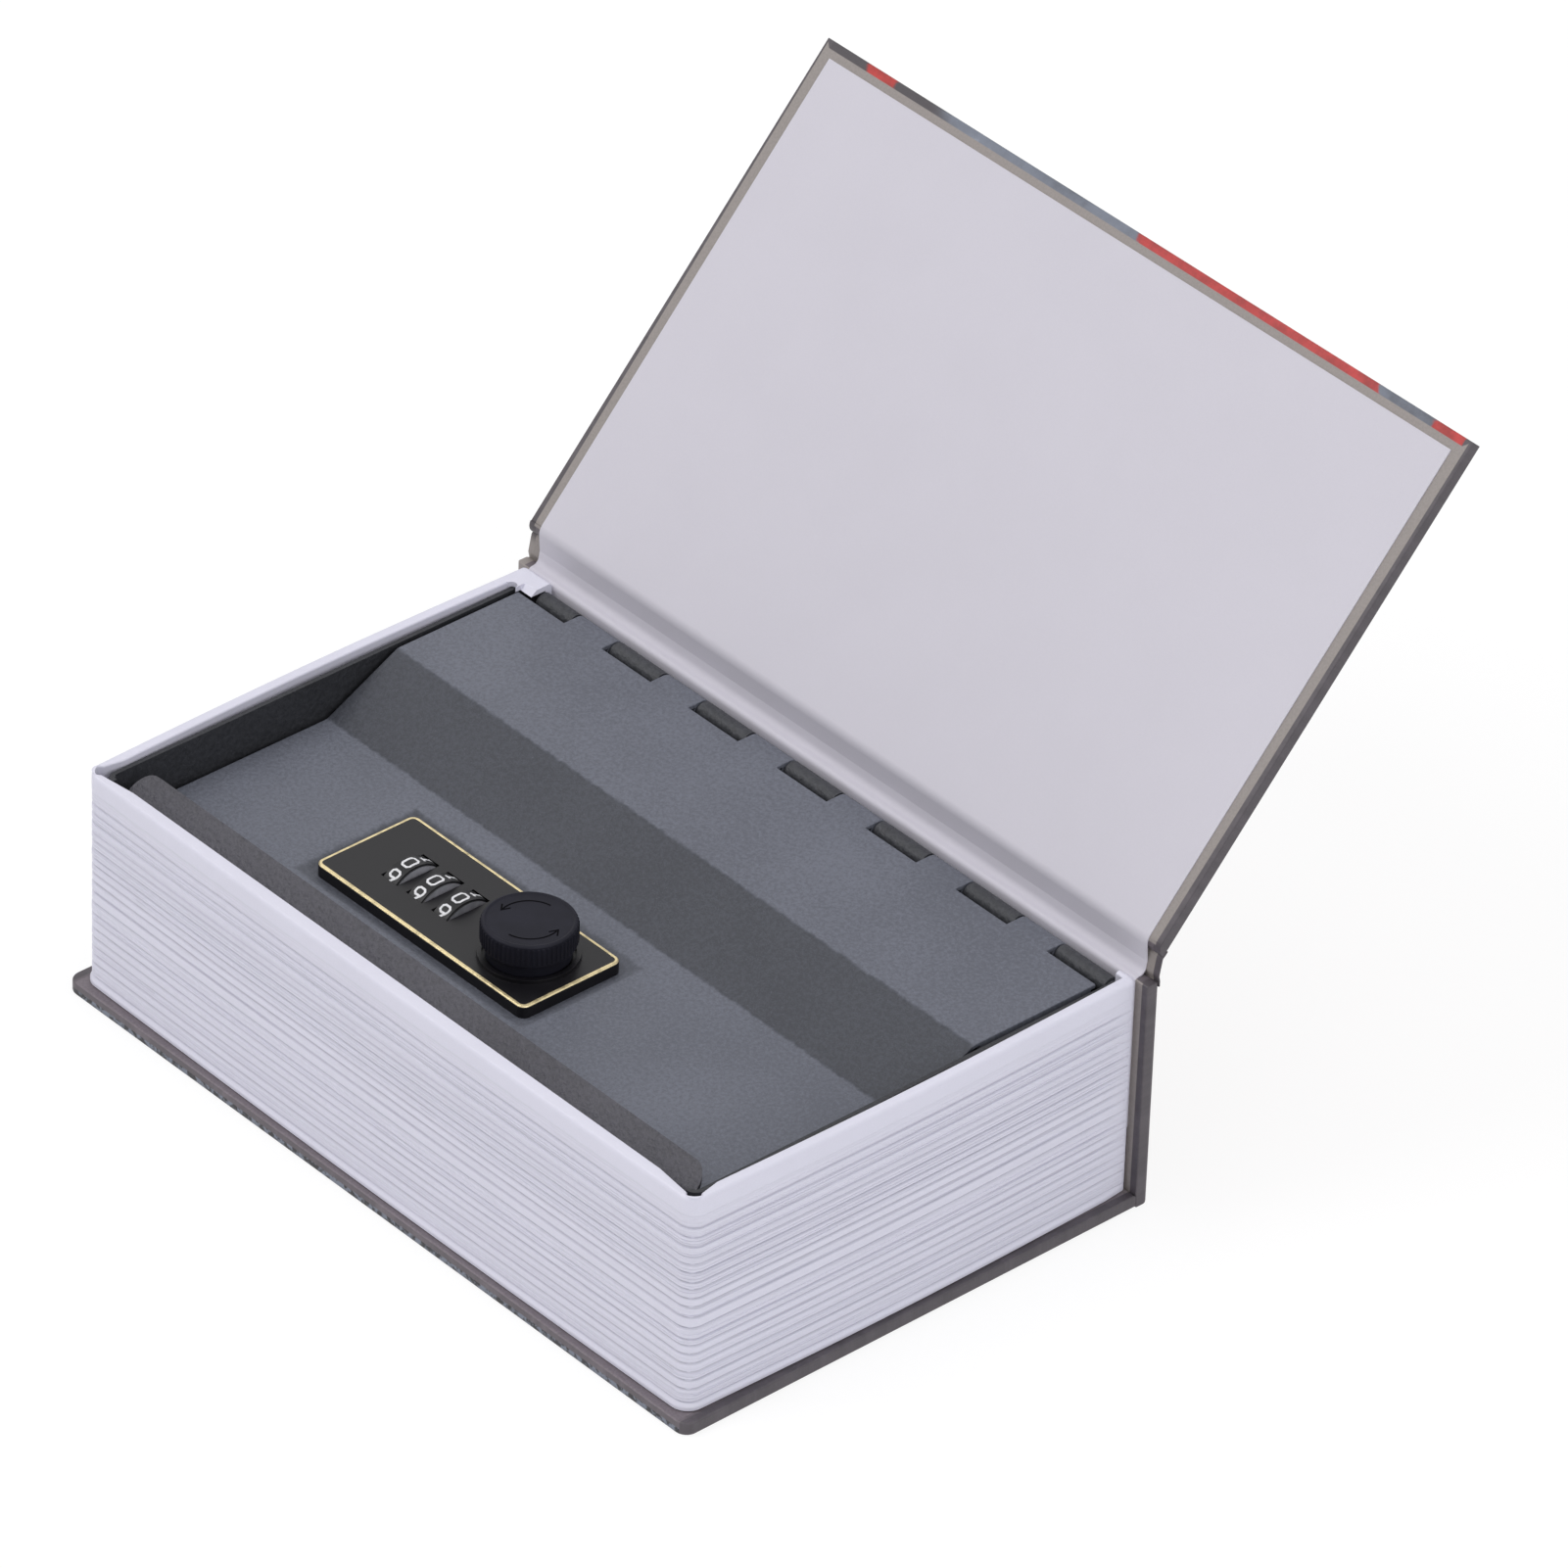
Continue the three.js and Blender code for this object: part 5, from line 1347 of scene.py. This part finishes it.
def make_knurls(sizes, x, y, bottom, grip):
    """Rounded upright ridges, one made and set out round the grip."""
    low, high = bottom + 3.2 * MM, bottom + 7.15 * MM
    out = sizes.knurl_height
    wide = math.pi * grip / sizes.knurls * 0.62
    section = [(-0.05 * MM, -wide), (out * 0.62, -wide * 0.72), (out, -wide * 0.25), (out, wide * 0.25),
               (out * 0.62, wide * 0.72), (-0.05 * MM, wide)]
    heights = [(low, 0.0), (low + 0.25 * MM, 1.0), (high - 0.25 * MM, 1.0), (high, 0.0)]
    points = [(max(r * share, -0.05 * MM) if share else -0.05 * MM, t * (0.6 + 0.4 * share), z)
              for z, share in heights for r, t in section]
    n = len(section)
    last = (len(heights) - 1) * n
    faces = [(k + i, k + (i + 1) % n, k + n + (i + 1) % n, k + n + i)
             for k in range(0, last, n) for i in range(n)]
    faces += [tuple(range(n)), tuple(range(last, last + n))]
    ridge = bpy.data.meshes.new("knurl")
    ridge.from_pydata(points, [], faces)
    face_outwards(ridge)
    one = as_object("knurl", ridge, "knob")
    spot = bpy.data.meshes.new("knob_knurls")
    spot.from_pydata([(x, y, 0)], [], [])
    knurls = as_object("knob_knurls", spot, "knob")
    tree, given = geometry_tree("knurl_ring", knurls, {
        "Count": sizes.knurls, "Radius": float(grip), "Centre X": float(x), "Centre Y": float(y),
        "Material": FINISHES["knob"],
    })
    ring = tree.node("GeometryNodeMeshCircle", {}, {"Vertices": given["Count"], "Radius": given["Radius"]})
    shape = tree.node("GeometryNodeObjectInfo", {}, {"Object": one}, out=4)
    index = tree.node("GeometryNodeInputIndex")
    turn = tree.node("ShaderNodeCombineXYZ", {}, {2: index * (2 * math.pi) / given["Count"]})
    set_out = tree.node(
        "GeometryNodeInstanceOnPoints", {}, {"Points": ring, "Instance": shape, "Rotation": turn})
    centre = tree.node("ShaderNodeCombineXYZ", {}, {0: given["Centre X"], 1: given["Centre Y"], 2: 0.0})
    moved = tree.node("GeometryNodeTransform", {}, {"Geometry": set_out, "Translation": centre})
    finish_tree(tree, moved, given["Material"])
    frozen(knurls)
    bpy.data.objects.remove(one)
    settled(knurls, 60)
    seat(knurls, "lock_knob", "lock_plastic")


def make_turn_marks(x, y, level):
    """Two thin curved arrows on the knob's top that show which way it turns."""
    points, faces = [], []
    radius, half, barb, steps = 6.1 * MM, 0.14 * MM, 1.1 * MM, 14

    def wrap(point, raised):
        return (x + point.x, y + point.y, level + (0.05 * MM if raised else -0.05 * MM))

    for start in (100, 280):
        angles = [math.radians(start + 95 * step / steps) for step in range(steps + 1)]
        arc = [Vector((math.cos(a), math.sin(a))) * radius for a in angles]
        stroke_faces(arc, half, points, faces, wrap)
        tip = arc[-1]
        on = (arc[-1] - arc[-2]).normalized()
        across = Vector((-on.y, on.x)) * MM
        head = [tip - on * barb + across, tip + on * 0.5 * MM, tip - on * barb - across]
        stroke_faces(finely(head, 0.5 * MM), half, points, faces, wrap)
    marks = bpy.data.meshes.new("knob_marks")
    marks.from_pydata(points, [], faces)
    piece = as_object("knob_marks", marks, "mark")
    seat(piece, "lock_knob", "lock_plastic")


# Stage


def seen_directly(tree):
    """1 for rays from the camera, off a shiny surface or through a clear one."""
    seen = tree.tree.nodes.new("ShaderNodeLightPath")
    camera, glossy, through = (
        Value(tree, seen.outputs[f"Is {kind} Ray"]) for kind in ("Camera", "Glossy", "Transmission"))
    return camera.at_least(glossy).at_least(through)


def make_floor(scene):
    """A wide white floor that is mostly glow where it is seen directly."""
    mesh = bpy.data.meshes.new("floor")
    reach = 12.0
    corners = [(-reach, -reach, 0), (reach, -reach, 0), (reach, reach, 0), (-reach, reach, 0)]
    mesh.from_pydata(corners, [], [(0, 1, 2, 3)])
    floor = bpy.data.objects.new("floor", mesh)
    scene.collection.objects.link(floor)
    finish = Finish("floor_paper", Roughness=0.9)
    grain = finish.noise(0.6, 2)
    finish.set("Base Color", finish.mix(grain.ramp(0.3, 0.7), (0.90, 0.90, 0.91), (0.92, 0.92, 0.93)))
    share = seen_directly(finish) * 0.8
    glow = finish.node("ShaderNodeEmission", {}, {"Color": (1, 1, 1), "Strength": 1.06})
    body = Value(finish, finish.shader.outputs[0])
    both = finish.node("ShaderNodeMixShader", {}, {0: share, 1: body, 2: glow})
    finish.feed(finish.tree.nodes["Material Output"].inputs["Surface"], both)
    mesh.materials.append(finish.material)


def make_surroundings(scene):
    """White all round, dimmer as a light than as a background."""
    world = bpy.data.worlds.new("surroundings")
    scene.world = world
    world.use_nodes = True
    tree = Tree(world.node_tree)
    background = world.node_tree.nodes["Background"]
    tree.feed(background.inputs["Color"], (1, 1, 1))
    tree.feed(background.inputs["Strength"], 0.47 + seen_directly(tree) * 0.53)


def make_lamps(scene):
    """Three soft lamps that look at the middle of the book."""
    aim = Vector((0, 0, 0.03))
    for name, place, size, power, shade in (
        ("key", (-0.9, -1.2, 1.9), 1.4, 19, (1.0, 0.99, 0.98)),
        ("fill", (1.7, -0.4, 1.1), 1.6, 11, (0.97, 0.98, 1.0)),
        ("top", (0.1, 0.5, 2.2), 1.5, 9, (1.0, 1.0, 1.0)),
    ):
        light = bpy.data.lights.new(name, "AREA")
        light.shape = "DISK"
        light.size = size
        light.energy = power
        light.color = shade
        lamp = bpy.data.objects.new(name, light)
        scene.collection.objects.link(lamp)
        lamp.location = place
        lamp.rotation_euler = (aim - Vector(place)).to_track_quat("-Z", "Y").to_euler()


def make_camera(scene):
    """The camera as fitted to the photograph: its place, the way it looks back, its turn and its roll."""
    place = (1.5364, -1.3647, 1.5218)
    back = Vector((0.6025, -0.5523, 0.5762)).normalized()
    turn, roll = math.radians(47.49), math.radians(2.09)
    camera = bpy.data.cameras.new("camera")
    camera.sensor_width = 36
    camera.lens = 310.2
    eye = bpy.data.objects.new("camera", camera)
    scene.collection.objects.link(eye)
    level = Vector((math.cos(turn), math.sin(turn), 0))
    across = level * math.cos(roll) + back.cross(level) * math.sin(roll)
    up = back.cross(across)
    rows = [(across[i], up[i], back[i], place[i]) for i in range(3)]
    eye.matrix_world = Matrix((*rows, (0, 0, 0, 1)))
    scene.camera = eye


def make_stage():
    """Floor, soft light, white surroundings and the camera at the photograph's angle."""
    scene = bpy.context.scene
    scene.view_settings.view_transform = "Standard"
    make_floor(scene)
    make_surroundings(scene)
    make_lamps(scene)
    make_camera(scene)


# The add-on


class BOOK_OT_finishes(bpy.types.Operator):
    """Make the materials and give them to the CAD pieces that keep their shape"""

    bl_idname = "book.finishes"
    bl_label = "Finishes"

    def execute(self, context):
        scene = context.scene
        make_finishes(scene.book_colours, scene.steel_colours)
        coat("paper", "back_endpaper")
        coat("zinc", "hinge_pin", "dial_axle", "detent_spring", "spindle", "cam", "cam_washer", "cam_nut")
        return {"FINISHED"}


class BOOK_OT_case(bpy.types.Operator):
    """Make the back cover, the spine and the front cover"""

    bl_idname = "book.case"
    bl_label = "Case"

    def execute(self, context):
        case_boards(context.scene.book_sizes)
        return {"FINISHED"}


class BOOK_OT_joint(bpy.types.Operator):
    """Make the papers and cloths that bend at the cover's joint"""

    bl_idname = "book.joint"
    bl_label = "Joint"

    def execute(self, context):
        joint_papers(context.scene.book_sizes)
        joint_cloths()
        return {"FINISHED"}


class BOOK_OT_page_block(bpy.types.Operator):
    """Make the ribbed page block"""

    bl_idname = "book.page_block"
    bl_label = "Page block"

    def execute(self, context):
        make_page_block(context.scene.block_sizes)
        return {"FINISHED"}


class BOOK_OT_steel(bpy.types.Operator):
    """Make the steel box and its lid"""

    bl_idname = "book.steel"
    bl_label = "Box and lid"

    def execute(self, context):
        make_steel(context.scene.steel_sizes)
        return {"FINISHED"}


class BOOK_OT_lock(bpy.types.Operator):
    """Make the lock plate, its housing and screws"""

    bl_idname = "book.lock"
    bl_label = "Lock"

    def execute(self, context):
        make_plate(context.scene.steel_sizes)
        make_gold_line(context.scene.steel_sizes)
        make_screws()
        return {"FINISHED"}


class BOOK_OT_dials(bpy.types.Operator):
    """Make the dials and their digits"""

    bl_idname = "book.dials"
    bl_label = "Dials"

    def execute(self, context):
        make_dials(context.scene.steel_sizes)
        return {"FINISHED"}


class BOOK_OT_knob(bpy.types.Operator):
    """Make the turn knob"""

    bl_idname = "book.knob"
    bl_label = "Knob"

    def execute(self, context):
        make_knob(context.scene.steel_sizes)
        return {"FINISHED"}


class BOOK_OT_stage(bpy.types.Operator):
    """Make the floor, the light and the camera"""

    bl_idname = "book.stage"
    bl_label = "Stage"

    def execute(self, context):
        make_stage()
        return {"FINISHED"}


OPERATORS = (
    BOOK_OT_finishes, BOOK_OT_case, BOOK_OT_joint, BOOK_OT_page_block, BOOK_OT_steel,
    BOOK_OT_lock, BOOK_OT_dials, BOOK_OT_knob, BOOK_OT_stage,
)
GROUPS = {
    "book_sizes": BookSizes, "block_sizes": BlockSizes, "steel_sizes": SteelSizes,
    "book_colours": BookColours, "steel_colours": SteelColours,
}


class BOOK_PT_panel(bpy.types.Panel):
    """Lists the steps that make the book safe"""

    bl_idname = "BOOK_PT_panel"
    bl_label = "Book safe"
    bl_space_type = "VIEW_3D"
    bl_region_type = "UI"
    bl_category = "Book safe"

    def draw(self, context):
        for operator in OPERATORS:
            self.layout.operator(operator.bl_idname)
        for name in GROUPS:
            box = self.layout.box()
            group = getattr(context.scene, name)
            for field in group.__annotations__:
                box.prop(group, field)


def register():
    for group in GROUPS.values():
        bpy.utils.register_class(group)
    for name, group in GROUPS.items():
        setattr(bpy.types.Scene, name, bpy.props.PointerProperty(type=group))
    for operator in (*OPERATORS, BOOK_PT_panel):
        bpy.utils.register_class(operator)


def unregister():
    for operator in reversed((*OPERATORS, BOOK_PT_panel)):
        bpy.utils.unregister_class(operator)
    for name, group in GROUPS.items():
        delattr(bpy.types.Scene, name)
        bpy.utils.unregister_class(group)


def main():
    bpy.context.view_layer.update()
    register()
    for operator in OPERATORS:
        getattr(bpy.ops.book, operator.bl_idname.split(".")[1])()


if __name__ == "__main__":
    main()
